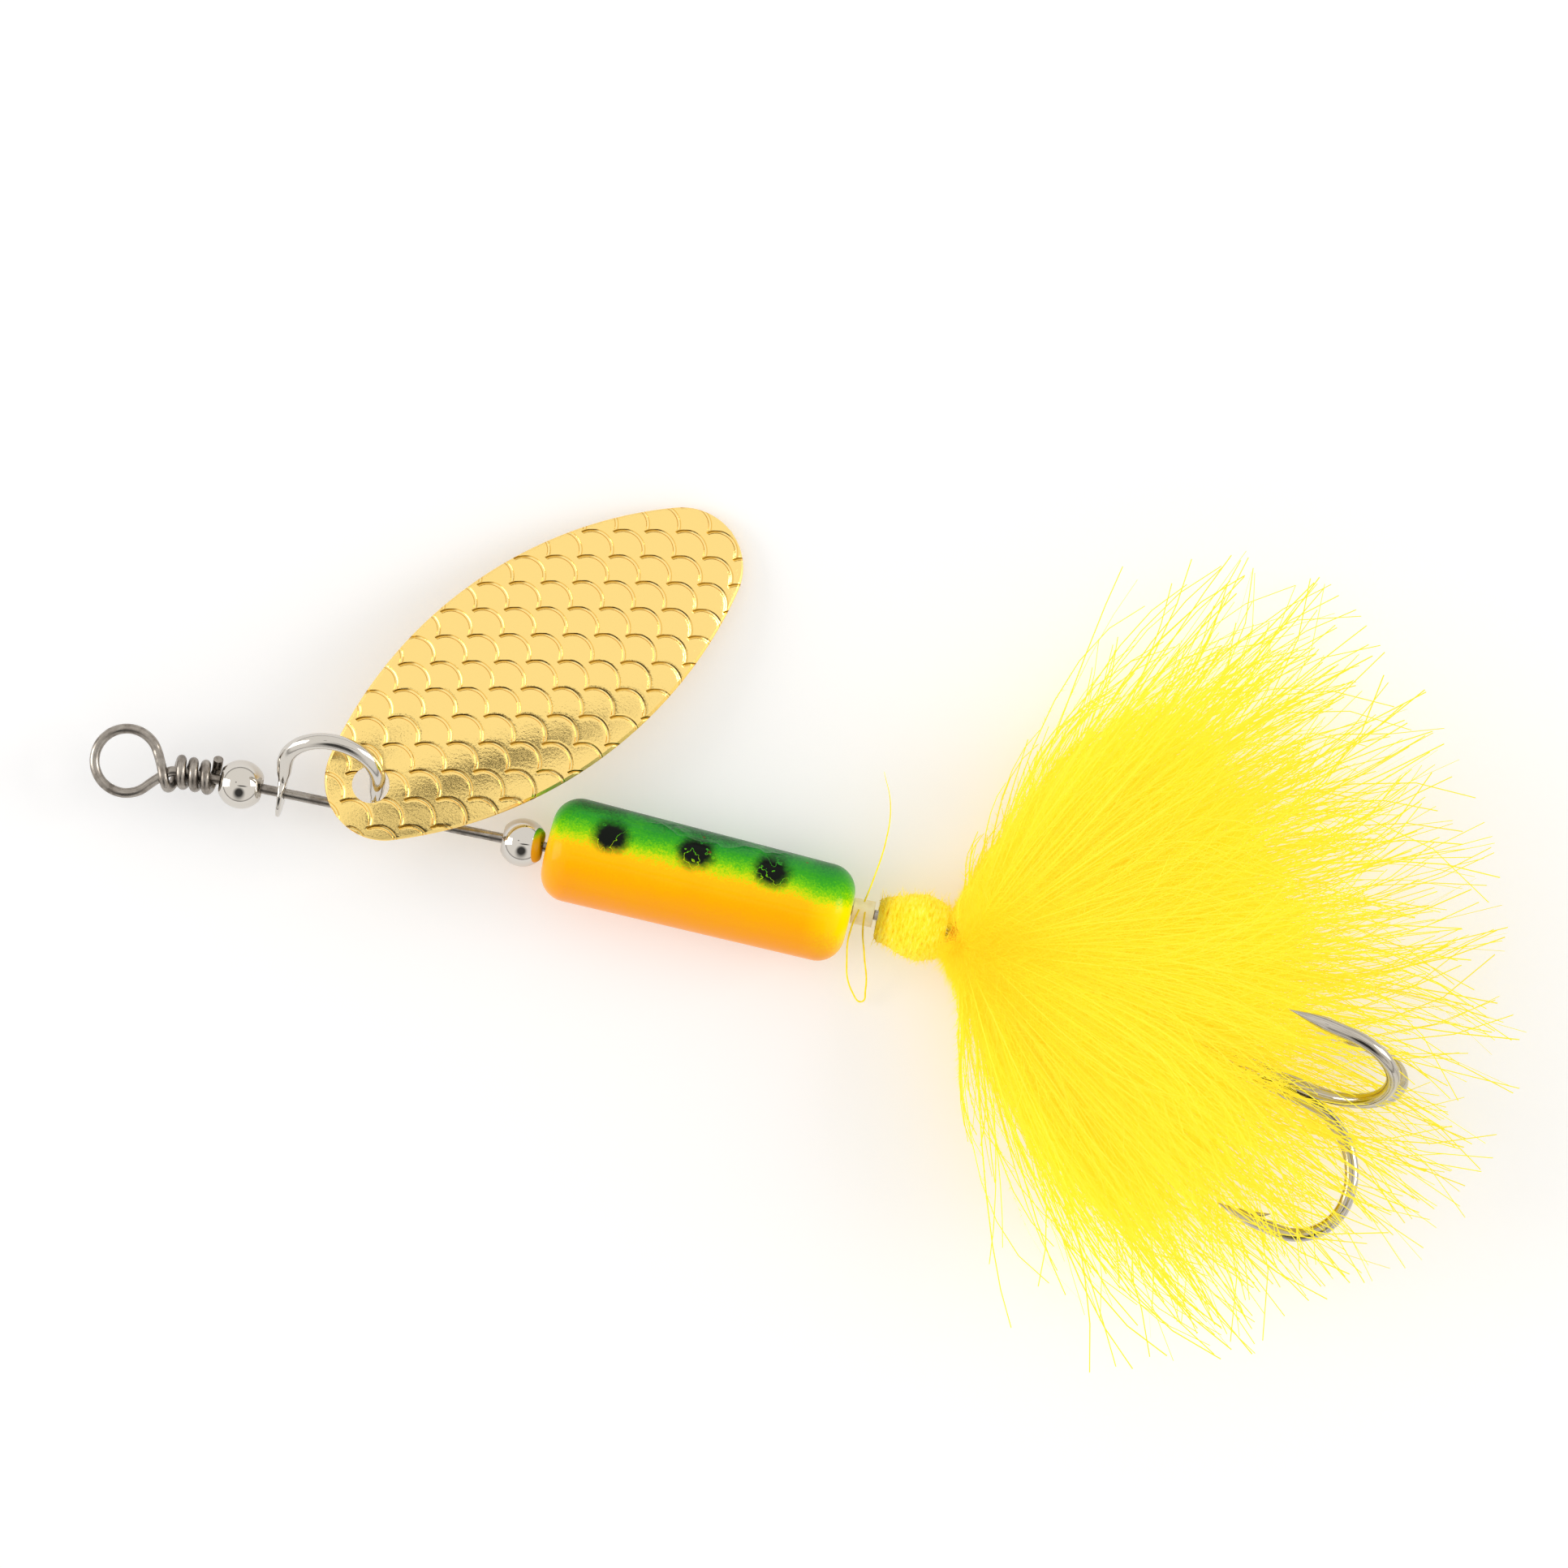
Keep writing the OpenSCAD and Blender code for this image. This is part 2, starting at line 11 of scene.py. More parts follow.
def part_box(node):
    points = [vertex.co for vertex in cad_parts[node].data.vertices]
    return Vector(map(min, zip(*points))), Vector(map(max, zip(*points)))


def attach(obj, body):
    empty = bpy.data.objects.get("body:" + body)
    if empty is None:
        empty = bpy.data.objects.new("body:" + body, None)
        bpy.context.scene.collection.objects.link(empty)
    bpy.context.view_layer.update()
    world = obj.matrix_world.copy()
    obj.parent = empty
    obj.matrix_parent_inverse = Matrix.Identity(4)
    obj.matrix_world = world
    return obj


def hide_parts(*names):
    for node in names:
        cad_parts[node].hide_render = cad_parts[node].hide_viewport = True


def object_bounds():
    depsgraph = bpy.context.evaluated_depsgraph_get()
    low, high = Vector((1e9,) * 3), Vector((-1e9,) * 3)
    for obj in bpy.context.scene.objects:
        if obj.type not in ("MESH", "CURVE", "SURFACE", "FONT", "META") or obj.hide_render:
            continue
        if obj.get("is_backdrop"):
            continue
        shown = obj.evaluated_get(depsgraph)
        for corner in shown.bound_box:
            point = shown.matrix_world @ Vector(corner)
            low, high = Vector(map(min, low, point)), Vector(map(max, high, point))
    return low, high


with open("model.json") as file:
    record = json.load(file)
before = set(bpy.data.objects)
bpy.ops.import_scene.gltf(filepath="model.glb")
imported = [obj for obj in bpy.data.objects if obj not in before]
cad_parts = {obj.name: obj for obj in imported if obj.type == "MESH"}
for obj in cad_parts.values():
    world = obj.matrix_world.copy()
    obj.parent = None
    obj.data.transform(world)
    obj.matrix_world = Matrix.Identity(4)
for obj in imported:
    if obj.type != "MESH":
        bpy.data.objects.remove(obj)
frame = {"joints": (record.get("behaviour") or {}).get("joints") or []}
cad_low, cad_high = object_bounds()
joints = {j["name"]: j for j in frame["joints"]}
MM = 0.001
scene = bpy.context.scene
scene.view_settings.view_transform = "Standard"


# Copy stand
# The lure lies on a white table in a light tent. The camera looks straight down from
# 450 mm, and two soft boxes stand to its left and right.
def hex_colour(code):
    """The linear colour of an sRGB hex value, for a shader's socket."""
    parts = [int(code[i : i + 2], 16) / 255 for i in (1, 3, 5)]
    return (*[p / 12.92 if p <= 0.04045 else ((p + 0.055) / 1.055) ** 2.4 for p in parts], 1.0)


def set_node(made, settings):
    """Sets a node's properties and sockets, a ramp's stops, or the four ends of a range. A socket
    takes a value, another node's socket, or a node for its first output in use."""
    for name, value in settings.items():
        if isinstance(value, bpy.types.Node):
            value = next(out for out in value.outputs if out.enabled)
        if isinstance(value, bpy.types.NodeSocket):
            made.id_data.links.new(value, made.inputs[name])
        elif name == "range":
            set_node(made, dict(zip(("From Min", "From Max", "To Min", "To Max"), value)))
        elif name == "stops":
            stops = made.color_ramp.elements
            while len(stops) < len(value):
                stops.new(1.0)
            for stop, (place, colour) in zip(stops, value):
                stop.position = place
                stop.color = hex_colour(colour) if isinstance(colour, str) else (colour,) * 3 + (1.0,)
        elif isinstance(name, str) and hasattr(made, name):
            setattr(made, name, value)
        else:
            made.inputs[name].default_value = value


def add_node(tree, kind, settings=None):
    """Adds one node with its settings and links."""
    made = tree.nodes.new("ShaderNode" + kind)
    set_node(made, settings or {})
    return made


def blank_material(name):
    """A new material and its empty node tree."""
    made = bpy.data.materials.new(name)
    made.use_nodes = True
    made.node_tree.nodes.clear()
    return made, made.node_tree


table_z = cad_low.z - 0.05 * MM
camera_yaw = math.radians(11.65)
view_right = Vector((math.cos(camera_yaw), math.sin(camera_yaw), 0))
view_up = Vector((-math.sin(camera_yaw), math.cos(camera_yaw), 0))
view_centre = Vector((52.42 * MM, 8.89 * MM, 0))
camera_height = 450 * MM

camera_data = bpy.data.cameras.new("copy_camera")
camera_data.sensor_width = 36
camera_data.lens = 127.8
camera = bpy.data.objects.new("copy_camera", camera_data)
camera.location = view_centre + Vector((0, 0, camera_height))
camera.rotation_euler = (0, 0, camera_yaw)
scene.collection.objects.link(camera)
scene.camera = camera

# tent: white to the camera, a little dark where the camera and the tent's front gap mirror
tent = bpy.data.worlds.new("light_tent")
scene.world = tent
tent.use_nodes = True
tree = tent.node_tree
tree.nodes.clear()
direction = add_node(tree, "TexCoord").outputs["Generated"]
mirrored = None
# what mirrors dark: the lens, the camera's arm beside it, the open front and the low rim
for place, turn, size, core, level in (
    ((-0.337, 0.104), 0, (0.055, 0.055), 0.6, 0.10),
    ((0.19, -0.105), camera_yaw - math.radians(6.6), (0.43, 0.062), 0.55, 0.09),
    ((0.03, -0.62), camera_yaw, (0.46, 0.40), 0.5, 0.06),
):
    within = add_node(tree, "Mapping", {"vector_type": "TEXTURE", "Vector": direction})
    set_node(within, {"Location": (*place, 0), "Rotation": (0, 0, turn), "Scale": (*size, 40)})
    reach = add_node(tree, "VectorMath", {"operation": "LENGTH", 0: within})
    shade = add_node(tree, "MapRange", {"interpolation_type": "SMOOTHSTEP", "Value": reach})
    set_node(shade, {"range": (core, 1.15, level, 1.0)})
    if mirrored:
        shade = add_node(tree, "Math", {"operation": "MULTIPLY", 0: mirrored, 1: shade})
    mirrored = shade
height = add_node(tree, "SeparateXYZ", {0: direction})
rim = add_node(tree, "MapRange", {"range": (0.02, 0.16, 0.25, 1.0), "Value": height.outputs["Z"]})
mirrored = add_node(tree, "Math", {"operation": "MULTIPLY", 0: mirrored, 1: rim})
rays = add_node(tree, "LightPath")
tent_light = add_node(tree, "Background", {"Color": hex_colour("#FFFFFF"), "Strength": 0.68})
tent_mirror = add_node(tree, "Background", {"Color": hex_colour("#FFFDFA"), "Strength": mirrored})
tent_seen = add_node(tree, "Background", {"Color": hex_colour("#FFFFFF"), "Strength": 1.0})
glossy = rays.outputs["Is Glossy Ray"]
glossy_part = add_node(tree, "MixShader", {0: glossy, 1: tent_light, 2: tent_mirror})
direct, passing = rays.outputs["Is Camera Ray"], rays.outputs["Is Transmission Ray"]
clear_rays = add_node(tree, "Math", {"operation": "MAXIMUM", 0: direct, 1: passing})
camera_part = add_node(tree, "MixShader", {0: clear_rays, 1: glossy_part, 2: tent_seen})
add_node(tree, "OutputWorld", {"Surface": camera_part})

for side, name in ((-1, "soft_box_left"), (1, "soft_box_right")):
    lamp = bpy.data.lights.new(name, "AREA")
    lamp.shape = "RECTANGLE"
    lamp.size, lamp.size_y = 1.2, 2.0
    lamp.energy = 30
    lamp.color = (1.0, 0.985, 0.965)
    box = bpy.data.objects.new(name, lamp)
    toward = (view_right * side * 0.90 + view_up * 0.10 + Vector((0, 0, 0.28))).normalized()
    box.location = view_centre + toward * 2.5
    box.rotation_euler = toward.to_track_quat("Z", "Y").to_euler()
    scene.collection.objects.link(box)

# white table: keeps a faint shadow, and is clear from below so that the underside shows
paper, tree = blank_material("white_table")
rays = add_node(tree, "LightPath")
seen = rays.outputs["Is Camera Ray"]
for kind in ("Is Glossy Ray", "Is Transmission Ray"):
    seen = add_node(tree, "Math", {"operation": "MAXIMUM", 0: seen, 1: rays.outputs[kind]})
lift = add_node(tree, "Math", {"operation": "MULTIPLY", 0: seen, 1: 0.22})
sheet = add_node(tree, "BsdfDiffuse", {"Color": hex_colour("#F2F1F0")})
glow = add_node(tree, "Emission", {"Color": hex_colour("#FFFFFF"), "Strength": lift})
lit = add_node(tree, "AddShader", {0: sheet, 1: glow})
clear = add_node(tree, "BsdfTransparent")
below = add_node(tree, "NewGeometry").outputs["Backfacing"]
table_top = add_node(tree, "MixShader", {0: below, 1: lit, 2: clear})
add_node(tree, "OutputMaterial", {"Surface": table_top})
bpy.ops.object.select_all(action="DESELECT")
bpy.ops.mesh.primitive_plane_add(size=8, location=(0, 0, table_z))
table = bpy.context.object
table.name = "white_table"
table.data.materials.append(paper)
table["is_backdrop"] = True


# Shaft wire
# One length of stainless spring wire: bent into the line-tie eye, its tag end wound back
# round the shaft, and folded at the rear into the loop that carries the hook.
def select_only(*pieces):
    """Selects these pieces and nothing else, the first of them active."""
    bpy.ops.object.select_all(action="DESELECT")
    for piece in pieces:
        piece.select_set(True)
    bpy.context.view_layer.objects.active = pieces[0]


def bent_wire(name, path, radius, thickness=None, kind="BEZIER", steps=10, sides=6, cyclic=False):
    """A round wire through the points of path, turned into a mesh with its own UV map."""
    curve = bpy.data.curves.new(name, "CURVE")
    curve.dimensions = "3D"
    curve.resolution_u = steps
    curve.bevel_depth = radius * MM
    curve.bevel_resolution = sides
    curve.use_fill_caps = True
    spline = curve.splines.new(kind)
    points = spline.bezier_points if kind == "BEZIER" else spline.points
    points.add(len(path) - 1)
    for k, (point, place) in enumerate(zip(points, path)):
        place = [c * MM for c in place]
        point.co = place if kind == "BEZIER" else (*place, 1)
        point.radius = 1 if thickness is None else thickness[k]
        if kind == "BEZIER":
            point.handle_left_type = point.handle_right_type = "AUTO"
    spline.use_cyclic_u = cyclic
    wire = bpy.data.objects.new(name, curve)
    scene.collection.objects.link(wire)
    select_only(wire)
    bpy.ops.object.convert(target="MESH")
    bpy.ops.object.shade_smooth_by_angle(angle=math.radians(50))
    return wire


def surface(name, settings):
    """A material with its Principled shader joined up. Gives the material, its tree, the shader
    and the place in the frame, from which patterns are made."""
    made, tree = blank_material(name)
    shader = add_node(tree, "BsdfPrincipled", settings)
    add_node(tree, "OutputMaterial", {"Surface": shader})
    return made, tree, shader, add_node(tree, "TexCoord").outputs["Object"]


def metal(name, base, rough):
    """The same for a bare metal."""
    return surface(name, {"Base Color": hex_colour(base), "Metallic": 1.0, "Roughness": rough})


# stainless spring wire, drawn through a die: fine lines along it, soap residue left dull
stainless, tree, shader, place = metal("drawn_stainless_wire", "#B4AFA5", 0.26)
along = add_node(tree, "TexCoord").outputs["UV"]
drawn = add_node(tree, "Mapping", {"Scale": (18, 26, 1), "Vector": along})
lines = add_node(tree, "TexNoise", {"Scale": 1.0, "Detail": 4.0, "Roughness": 0.7, "Vector": drawn})
patches = add_node(tree, "TexNoise", {"Scale": 900.0, "Detail": 5.0, "Roughness": 0.65, "Vector": place})
residue = [(0.36, "#857D74"), (0.47, "#A39B92"), (0.62, "#B4ADA4")]
dirt = add_node(tree, "ValToRGB", {"stops": residue, 0: patches})
streaks = add_node(tree, "MapRange", {"range": (0.35, 0.65, 0.72, 1.0), "Value": lines})
tint = add_node(tree, "Mix", {"data_type": "RGBA", "blend_type": "MULTIPLY", "Factor": 1.0})
set_node(tint, {6: dirt, 7: streaks})
dull = add_node(tree, "MapRange", {"range": (0.35, 0.65, 0.38, 0.20), "Value": patches})
relief = add_node(tree, "Bump", {"Strength": 0.35, "Distance": 0.01 * MM, "Height": lines})
set_node(shader, {"Base Color": tint, "Roughness": dull, "Normal": relief})

wire_r, eye_r, wrap_r = 0.405, 2.6, 1.0
pivot = Vector(joints["hook_swing"]["pos_m"]) / MM
loop_r = 1.25


def polar(r, degrees):
    """The two components of a radius r, turned by an angle."""
    return r * math.cos(math.radians(degrees)), r * math.sin(math.radians(degrees))


loop_x, loop_z = pivot.x - loop_r, pivot.z
shaft_path = [(60.3, 0, 2 * loop_z), (61.4, 0, 2 * loop_z)]
for a in range(-125, 130, 25):
    x, z = polar(loop_r, a)
    shaft_path.append((loop_x + x, 0, loop_z + z))
shaft_path += [(61.4, 0, 0), (55, 0, 0), (40, 0, 0), (25, 0, 0), (10, 0, 0), (5.2, 0, 0)]
shaft_path += [(4.3, 0, 0), (3.75, -0.08, 0), (3.3, -0.36, 0), (2.85, -0.79, 0), (2.25, -1.38, 0)]
shaft_path += [(*polar(eye_r, a), 0) for a in range(-52, -345, -14)]
shaft_path += [
    (2.75, 0.42, 0.42), (3.1, -0.25, 0.82), (3.4, -1.0, 0.78), (3.68, -1.45, 0.1), (3.95, -1.1, -0.72),
    (4.12, -0.2, -1.03)
]
shaft_path += [(3.5 + (a - 60) / 360, *polar(wrap_r, a)) for a in range(315, 1400, 24)]
shaft_path += [(7.24, 1.05, -0.36), (7.26, 1.62, 0.14)]
shaft = bent_wire("shaft_wire_bent", shaft_path, wire_r, steps=8)
shaft.data.materials.append(stainless)
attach(shaft, "shaft")
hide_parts("shaft_wire")


# Beads
# Two brass beads, turned and drilled with a shallow countersink at each end, then nickel
# plated and barrel polished to a mirror. They are loose on the shaft.
def turned_piece(name, profile, centre, yaw=0.0, steps=96):
    """Spins a closed profile of (along, radius) round the x axis, then sets it in place."""
    mesh = bpy.data.meshes.new(name)
    count = len(profile)
    edges = [(k, (k + 1) % count) for k in range(count)]
    mesh.from_pydata([(x * MM, 0, r * MM) for x, r in profile], edges, [])
    piece = bpy.data.objects.new(name, mesh)
    scene.collection.objects.link(piece)
    select_only(piece)
    bpy.ops.object.mode_set(mode="EDIT")
    bpy.ops.mesh.select_all(action="SELECT")
    bpy.ops.mesh.spin(steps=steps, angle=2 * math.pi, center=(0, 0, 0), axis=(1, 0, 0))
    bpy.ops.mesh.select_all(action="SELECT")
    bpy.ops.mesh.remove_doubles(threshold=0.0005 * MM)
    bpy.ops.mesh.normals_make_consistent(inside=False)
    bpy.ops.object.mode_set(mode="OBJECT")
    mesh.transform(Matrix.Translation(Vector(centre) * MM) @ Matrix.Rotation(yaw, 4, "Z"))
    bpy.ops.object.shade_smooth_by_angle(angle=math.radians(35))
    return piece


def scuffed(name, base, rough, grain, haze, strength, depth):
    """A metal with fine marks all over. A noise of that grain sets its roughness, in the range
    haze, and lifts its skin."""
    made, tree, shader, place = metal(name, base, rough)
    marks = add_node(tree, "TexNoise", {**grain, "Vector": place})
    haze = add_node(tree, "MapRange", {"range": haze, "Value": marks})
    relief = add_node(tree, "Bump", {"Strength": strength, "Distance": depth * MM, "Height": marks})
    set_node(shader, {"Roughness": haze, "Normal": relief})
    return made, tree, shader


# nickel plate over polished brass: a warm grey mirror with faint barrelling marks
grain = {"Scale": 1500.0, "Detail": 3.0, "Roughness": 0.6}
nickel = scuffed("polished_nickel", "#D3CEC6", 0.03, grain, (0.4, 0.75, 0.02, 0.09), 0.08, 0.01)[0]

bead_r, bead_hole_r, bead_dish_r = 1.985, 0.65, 1.05
bead_half = math.sqrt(bead_r**2 - bead_dish_r**2)
lip = math.acos(bead_half / bead_r)
around = np.linspace(lip + 0.02, math.pi - lip - 0.02, 48)
bead_profile = [(bead_r * math.cos(a), bead_r * math.sin(a)) for a in around]
dish = [(bead_half - 0.02, bead_dish_r - 0.03), (bead_half - 0.10, bead_dish_r - 0.12)]
dish += [(bead_half - 0.36, bead_hole_r + 0.03), (bead_half - 0.42, bead_hole_r)]
bead_profile += [(-x, r) for x, r in dish] + dish[::-1]
for node in ("bead_front", "bead_rear"):
    low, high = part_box(node)
    bead = turned_piece(node + "_turned", bead_profile, ((low + high) / 2 / MM))
    bead.data.materials.append(nickel)
    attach(bead, node)
    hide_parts(node)


# Clevis
# A stirrup bent from nickel-plated brass wire. Both ends are hammered into thin round ears
# and pierced, so that it spins on the shaft, and the blade hangs from its rear leg.
def mend_normals(merge=0.0):
    """Turns the active piece's faces outwards, after merging points closer than merge."""
    bpy.ops.object.mode_set(mode="EDIT")
    bpy.ops.mesh.select_all(action="SELECT")
    if merge:
        bpy.ops.mesh.remove_doubles(threshold=merge * MM)
        bpy.ops.mesh.dissolve_degenerate(threshold=merge * MM)
    bpy.ops.mesh.normals_make_consistent(inside=False)
    bpy.ops.object.mode_set(mode="OBJECT")


def mesh_piece(name, points, faces):
    """A mesh object from points in millimetres, active and alone in the selection."""
    mesh = bpy.data.meshes.new(name)
    mesh.from_pydata([tuple(p) for p in np.asarray(points) * MM], [], [tuple(f) for f in faces])
    piece = bpy.data.objects.new(name, mesh)
    scene.collection.objects.link(piece)
    select_only(piece)
    bpy.ops.object.shade_smooth_by_angle(angle=math.radians(50))
    return piece


def drill(piece, start, end, radius, smooth=40):
    """Drills a round hole through piece, from start to end."""
    start, end = Vector(start) * MM, Vector(end) * MM
    bpy.ops.object.select_all(action="DESELECT")
    bpy.ops.mesh.primitive_cylinder_add(
        vertices=64, radius=radius * MM, depth=(end - start).length, location=(start + end) / 2,
        rotation=(end - start).to_track_quat("Z", "Y").to_euler()
    )
    bit = bpy.context.object
    cut = piece.modifiers.new("drilled", "BOOLEAN")
    cut.operation, cut.solver, cut.object = "DIFFERENCE", "EXACT", bit
    select_only(piece)
    bpy.ops.object.modifier_apply(modifier=cut.name)
    bpy.data.objects.remove(bit)
    bpy.ops.object.shade_smooth_by_angle(angle=math.radians(smooth))


def loft(rings, closed_ends=True):
    """Points and quads of a tube through rings that all have the same number of points."""
    count, sides = len(rings), len(rings[0])
    points = np.concatenate([np.asarray(r, float) for r in rings])
    faces = []
    for i in range(0, (count - 1) * sides, sides):
        for j in range(sides):
            after = (j + 1) % sides
            faces.append((i + j, i + after, i + sides + after, i + sides + j))
    if closed_ends:
        faces += [tuple(range(sides))[::-1], tuple((count - 1) * sides + j for j in range(sides))]
    return points, faces


clevis_x = joints["clevis_spin"]["pos_m"][0] / MM
clevis_span, clevis_leg = 7.6, 3.8
clevis_lean = math.radians(50)
lean_dir = np.array([0, math.cos(clevis_lean), math.sin(clevis_lean)])
lean_side = np.array([0, -math.sin(clevis_lean), math.cos(clevis_lean)])
shaft_dir = np.array([1.0, 0, 0])
ear_r, ear_t, ear_hole_r = 2.0, 0.44, 0.5
half_span = clevis_span / 2
# stations along the stirrup: its place along the shaft, its height up the lean and its turn
leg_heights = [*(ear_r * -np.cos(np.linspace(0.02, math.pi / 2, 12))), *np.linspace(0.15, clevis_leg, 26)]
stations = [(0.0, h, 0.0) for h in leg_heights]
for a in np.linspace(0.06, math.pi - 0.06, 44):
    stations.append((half_span * (1 - math.cos(a)), clevis_leg + half_span * math.sin(a), a))
stations += [(clevis_span, h, math.pi) for h in leg_heights[::-1]]
rings = []
for x, h, a in stations:
    round_r = 0.52 + 0.13 * min(1, max(0, (h - 1.6) / 2.4))
    ear = math.sqrt(max(0.0, ear_r**2 - h**2)) if h < ear_r else 0.0
    blend = min(1, max(0, (h - 0.7) / 2.2))
    blend = blend * blend * (3 - 2 * blend)
    wide = max(ear, round_r * blend, 0.02) if h < ear_r else round_r * (0.85 + 0.15 * blend)
    thick = ear_t / 2 * (1 - blend) + round_r * blend
    if h < -1.5:
        thick *= 0.55 + 0.45 * math.sqrt(max(0.0, (h + 2.0) / 0.5))
    power = 0.45 + 0.55 * blend
    out = math.cos(a) * -shaft_dir + math.sin(a) * lean_dir
    centre = np.array([clevis_x + x, 0, 0]) + h * lean_dir
    ring = []
    for t in np.linspace(0, 2 * math.pi, 28, endpoint=False):
        c, s = math.cos(t), math.sin(t)
        across = lean_side * wide * math.copysign(abs(s) ** (0.8 + 0.2 * blend), s)
        ring.append(centre + out * thick * math.copysign(abs(c) ** power, c) + across)
    rings.append(ring)
clevis = mesh_piece("clevis_stirrup", *loft(rings))
mend_normals()
for x in (0, clevis_span):
    drill(clevis, (clevis_x + x - 1.5, 0, 0), (clevis_x + x + 1.5, 0, 0), ear_hole_r)

# bright nickel on bent wire: mirror finish, with fine lines where the wire was drawn
grain = {"Scale": 700.0, "Detail": 6.0, "Roughness": 0.7}
bright = scuffed("bright_nickel_wire", "#CFCAC2", 0.08, grain, (0.35, 0.7, 0.05, 0.2), 0.25, 0.012)[0]
clevis.data.materials.append(bright)
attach(clevis, "clevis")
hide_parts("clevis")


# Blade
# A lens-shaped blank of thin brass, pierced at one end, pressed hollow and stamped all over
# with overlapping fish scales, then plated with bright gold. It hangs on the clevis.
blade_edge_r, blade_w, blade_end_r, blade_t = 35.3, 17.6, 4.86, 0.5
hollow_long_r, hollow_cross_r, blade_hole_r = 80, 24, 1.5
blade_cy = blade_edge_r - blade_w / 2
blade_ex = math.sqrt((blade_edge_r - blade_end_r) ** 2 - blade_cy**2)
blade_half = blade_ex + blade_end_r
blade_mid = (blade_half - 3.66, -0.36)
hole_sag = blade_mid[0] ** 2 / (2 * hollow_long_r)
clevis_rear_x = clevis_x + clevis_span
blade_hole_z = clevis_leg * math.sin(clevis_lean)
blade_hole_y = blade_hole_z / math.tan(clevis_lean) - 0.3
blade_place = Matrix.Translation((clevis_rear_x - 0.5, blade_hole_y, blade_hole_z))
for turn in ((0, 0, 47.7), (0, 8.8, 0), (-2.4, 0, 0)):
    blade_place = blade_place @ Euler(np.radians(turn)).to_matrix().to_4x4()


def blade_half_width(x):
    """Half the blade's width at x from its middle."""
    x = abs(x)
    if x < blade_edge_r * blade_ex / (blade_edge_r - blade_end_r):
        return math.sqrt(blade_edge_r**2 - x**2) - blade_cy
    return math.sqrt(max(0.0, blade_end_r**2 - (x - blade_ex) ** 2))


def blade_face(x, y, under):
    """Height of the hollow sheet's upper face, or of its under face, at x, y from its middle."""
    cross = hollow_cross_r - under
    across = hollow_long_r - hollow_cross_r + math.sqrt(cross**2 - y**2)
    return math.sqrt(across**2 - x**2) - hollow_long_r


# scale lattice: one step along a row, one across, and the arc from each cusp to the next row's
row_step, cusp_step = Vector((2.07, -1.49, 0)), Vector((0.44, -3.013, 0))
arc_centre, arc_r = Vector((-0.672, -1.633, 0)), 1.768
first_cusp = (16.2, 0.5, 0)
det = row_step.x * cusp_step.y - cusp_step.x * row_step.y


def scale_groove(x, y):
    """How deep, from 0 to 1, the groove round the nearest scale is at x, y from the hole."""
    x, y = x - first_cusp[0], y - first_cusp[1]
    u = (x * cusp_step.y - y * cusp_step.x) / det
    v = (y * row_step.x - x * row_step.y) / det
    u, v = (u + 0.25) % 1 - 0.25, v % 1
    off_x = u * row_step.x + v * cusp_step.x - arc_centre.x
    off_y = u * row_step.y + v * cusp_step.y - arc_centre.y
    outside = math.hypot(off_x, off_y) - arc_r
    return math.cos(max(-1.0, min(1.0, (outside + 0.17) / 0.26)) * math.pi / 2) ** 2


# rolled edge: how far in and how far down each step lies
edge = [(0.24, 0), (0.15, 0.03), (0.07, 0.08), (0.02, 0.15), (0, 0.23), (0, 0.38), (0.03, 0.45)]
groove_depth = 0.04
rings = []
for s in np.linspace(-1, 1, 341):
    x = blade_half * math.sin(s * math.pi / 2) * 0.35 + blade_half * s * 0.65
    w = blade_half_width(x)
    ring = []
    for f in np.linspace(1, -1, 141):
        y = f * (w - min(edge[0][0], w))
        stamped = groove_depth * scale_groove(x + blade_mid[0], y + blade_mid[1])
        ring.append((x, y, blade_face(x, y, 0) - stamped))
    for deep_in, depth_and_cusp_shade in edge[1:]:
        ring.append((x, -(w - min(deep_in, w)), blade_face(x, w, 0) - depth_and_cusp_shade))
    for f in np.linspace(-1, 1, 41):
        y = f * (w - min(0.07, w))
        ring.append((x, y, blade_face(x, y, blade_t)))
    for deep_in, depth_and_cusp_shade in edge[:0:-1]:
        ring.append((x, w - min(deep_in, w), blade_face(x, w, 0) - depth_and_cusp_shade))
    rings.append(ring)
points, faces = loft(rings, closed_ends=False)
points += np.array([blade_mid[0], blade_mid[1], hole_sag + blade_t / 2])
blade = mesh_piece("blade_gold", points, faces)
mend_normals(merge=0.002)
drill(blade, (0, 0, -4), (0, 0, 4), blade_hole_r, smooth=30)
for move in (Matrix.Scale(1 / MM, 4), blade_place, Matrix.Scale(MM, 4)):
    blade.data.transform(move)

# bright gold plate: warm mirror, pressed scales with a fine groove round each, and painted shade and
# highlight along the grooves
gold, tree, shader, place = metal("gold_plate", "#FFDF8A", 0.07)
# the sheared edge is duller than the faces
facing = add_node(tree, "SeparateXYZ", {0: place.node.outputs["Normal"]})
facing = add_node(tree, "Math", {"operation": "ABSOLUTE", 0: facing.outputs["Z"]})
dull = add_node(tree, "MapRange", {"range": (0.70, 0.86, 0.50, 0.06), "Value": facing})
back = blade_place.inverted()
flat = add_node(tree, "Mapping", {"Scale": (1 / MM,) * 3, "Vector": place})
set_node(flat, {"Rotation": back.to_euler(), "Location": back.translation})
from_cusp = add_node(tree, "VectorMath", {"operation": "SUBTRACT", 0: flat, 1: first_cusp})
to_u, to_v = (cusp_step.y / det, -cusp_step.x / det, 0), (-row_step.y / det, row_step.x / det, 0)
u = add_node(tree, "VectorMath", {"operation": "DOT_PRODUCT", 0: from_cusp, 1: to_u})
v = add_node(tree, "VectorMath", {"operation": "DOT_PRODUCT", 0: from_cusp, 1: to_v})
shifted = add_node(tree, "Math", {"operation": "ADD", 0: u, 1: 0.25})
u_part = add_node(tree, "Math", {"operation": "FRACT", 0: shifted})
u_back = add_node(tree, "Math", {"operation": "SUBTRACT", 0: u_part, 1: 0.25})
